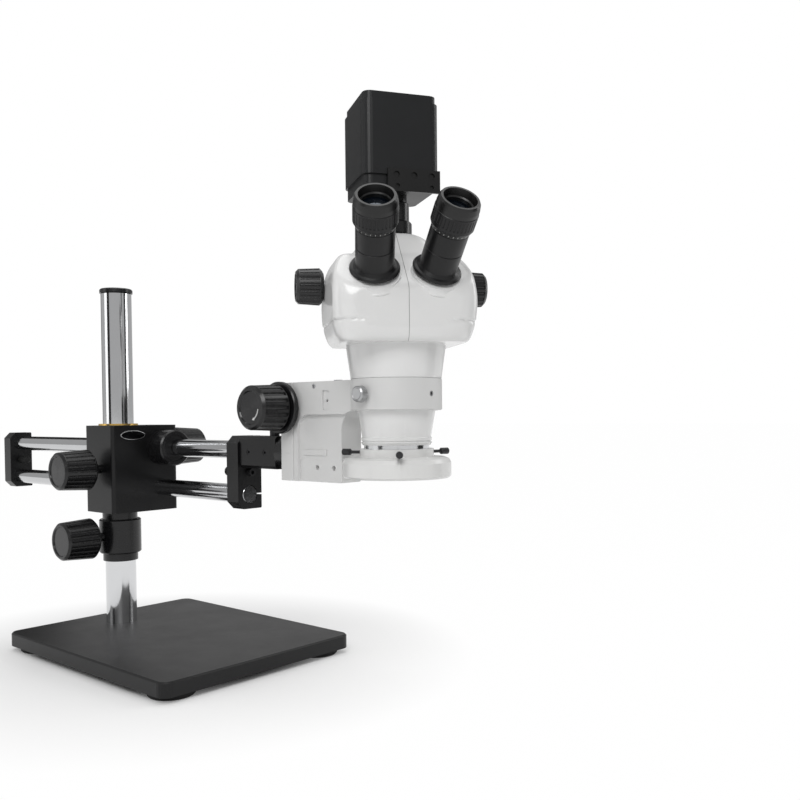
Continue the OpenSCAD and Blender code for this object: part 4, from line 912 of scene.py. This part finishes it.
@dataclass
class Studio:
    """The floor, the world, the lamps, the dark flags and the camera."""

    eye: tuple[float, float, float] = (0.94917, -0.56883, 0.26425)
    yaw: float = 131.42929
    pitch: float = 1.689
    roll: float = 0.530
    lens: float = 39.823
    shift: float = 0.05132
    ambient: float = 0.3
    lamps: list[Softbox] = field(default_factory=lambda: [
        Softbox("Key", (1.15, -1.15, 1.35), (0.25, 0.0, 0.25), (0.9, 0.9), 15.0),
        Softbox("Left fill", (-0.7, -1.4, 0.8), (0.1, 0.0, 0.2), (0.7, 1.2), 3.0),
        Softbox("Right rim", (1.0, 1.1, 0.9), (0.3, 0.0, 0.3), (0.5, 1.2), 5.0),
        Softbox("Overhead", (0.1, 0.2, 1.9), (0.1, 0.1, 0.0), (1.3, 1.3), 9.0),
    ])

    def lookout(self) -> None:
        """Sets the camera from its eye point, yaw, pitch, roll and lens."""
        yaw, pitch, roll = (math.radians(a) for a in (self.yaw, self.pitch, self.roll))
        ahead = Vector((math.cos(yaw) * math.cos(pitch), math.sin(yaw) * math.cos(pitch), -math.sin(pitch)))
        level = Vector((math.sin(yaw), -math.cos(yaw), 0.0))
        down = ahead.cross(level)
        right = level * math.cos(roll) + down * math.sin(roll)
        up = -(down * math.cos(roll) - level * math.sin(roll))
        data = bpy.data.cameras.new("Camera")
        data.lens, data.sensor_width, data.shift_y, data.clip_end = self.lens, 36.0, self.shift, 50.0
        camera = bpy.data.objects.new("Camera", data)
        turn = Matrix((right, up, -ahead)).transposed().to_4x4()
        camera.matrix_world = Matrix.Translation(self.eye) @ turn
        bpy.context.scene.collection.objects.link(camera)
        bpy.context.scene.camera = camera

    def floor(self) -> None:
        """A wide pale floor that fades to white for the camera away from the object's shadow."""
        mesh = bpy.data.meshes.new("Floor")
        mesh.from_pydata([(-20, -20, 0), (20, -20, 0), (20, 20, 0), (-20, 20, 0)], [], [(0, 1, 2, 3)])
        ground = bpy.data.objects.new("Floor", mesh)
        bpy.context.scene.collection.objects.link(ground)
        made = bpy.data.materials.new("Pale floor")
        made.use_nodes = True
        graph = Graph(made.node_tree)
        shader = made.node_tree.nodes["Principled BSDF"]
        shader.inputs["Base Color"].default_value = (0.96, 0.96, 0.96, 1.0)
        shader.inputs["Roughness"].default_value = 0.85
        shader.inputs["Specular IOR Level"].default_value = 0.1
        mesh.materials.append(made)
        x, y, _ = graph.split(graph.add("ShaderNodeTexCoord").outputs["Object"])
        far = graph.math("SQRT", graph.math("ADD", graph.math("POWER", graph.math("SUBTRACT", x, 0.1), 2.0), graph.math("POWER", y, 2.0)))
        away = graph.math("SMOOTH_MIN", graph.math("DIVIDE", graph.math("SUBTRACT", far, 0.14), 0.2, clamp=True), 1.0, 0.05)
        paths = graph.add("ShaderNodeLightPath")
        seen = graph.math("MAXIMUM", paths.outputs["Is Camera Ray"], graph.math("MAXIMUM", paths.outputs["Is Glossy Ray"], paths.outputs["Is Transmission Ray"]))
        white = graph.add("ShaderNodeEmission", {"Color": (1.0, 1.0, 1.0, 1.0), "Strength": 1.0})
        blend = graph.add("ShaderNodeMixShader", {0: graph.math("MULTIPLY", away, seen), 1: shader.outputs[0], 2: white.outputs[0]})
        out = next(n for n in made.node_tree.nodes if n.type == "OUTPUT_MATERIAL")
        made.node_tree.links.new(blend.outputs[0], out.inputs[0])

    def flags(self) -> None:
        """Two dark cards out of view, which give polished metal its dark streaks."""
        made = bpy.data.materials.new("Dark card")
        made.use_nodes = True
        shader = made.node_tree.nodes["Principled BSDF"]
        shader.inputs["Base Color"].default_value = (0.02, 0.02, 0.02, 1.0)
        shader.inputs["Roughness"].default_value = 0.9
        for number, (x, y, along) in enumerate(((1.15, 0.75, (-0.5, 0.86)), (-0.15, -1.6, (1.0, 0.1)), (-1.3, 0.3, (0.2, 1.0)))):
            side = Vector((along[0], along[1], 0.0)).normalized() * 0.28
            foot = Vector((x, y, 0.02))
            rise = Vector((0.0, 0.0, 1.3))
            mesh = bpy.data.meshes.new(f"Card {number}")
            mesh.from_pydata([foot - side, foot + side, foot + side + rise, foot - side + rise], [], [(0, 1, 2, 3)])
            mesh.materials.append(made)
            card = bpy.data.objects.new(f"Card{number}", mesh)
            card.visible_camera = False
            card.visible_shadow = False
            card.visible_diffuse = False
            bpy.context.scene.collection.objects.link(card)

    def sky(self) -> None:
        """A white surround for the eye and for reflections, at a plainer level for light."""
        world = bpy.data.worlds.new("Surround")
        bpy.context.scene.world = world
        world.use_nodes = True
        graph = Graph(world.node_tree)
        paths = graph.add("ShaderNodeLightPath")
        seen = graph.math("MAXIMUM", paths.outputs["Is Camera Ray"], paths.outputs["Is Transmission Ray"])
        gloss = graph.math("MULTIPLY", paths.outputs["Is Glossy Ray"], 0.5)
        level = graph.math("MAXIMUM", graph.math("MAXIMUM", seen, gloss), self.ambient)
        ground = world.node_tree.nodes["Background"]
        ground.inputs["Color"].default_value = (1.0, 1.0, 1.0, 1.0)
        world.node_tree.links.new(level, ground.inputs["Strength"])

    def build(self) -> None:
        """Sets the whole studio."""
        bpy.context.scene.view_settings.view_transform = "Standard"
        self.floor()
        self.flags()
        self.sky()
        for lamp in self.lamps:
            lamp.build()
        self.lookout()
        log.info("set the studio")


def main() -> None:
    """Builds every part of the scene in order."""
    head = Head()
    Stand().build()
    FocusMount().build()
    head.build()
    CameraUnit().build(head)
    RingLight().build(head)
    Studio().build()


if __name__ == "__main__":
    main()
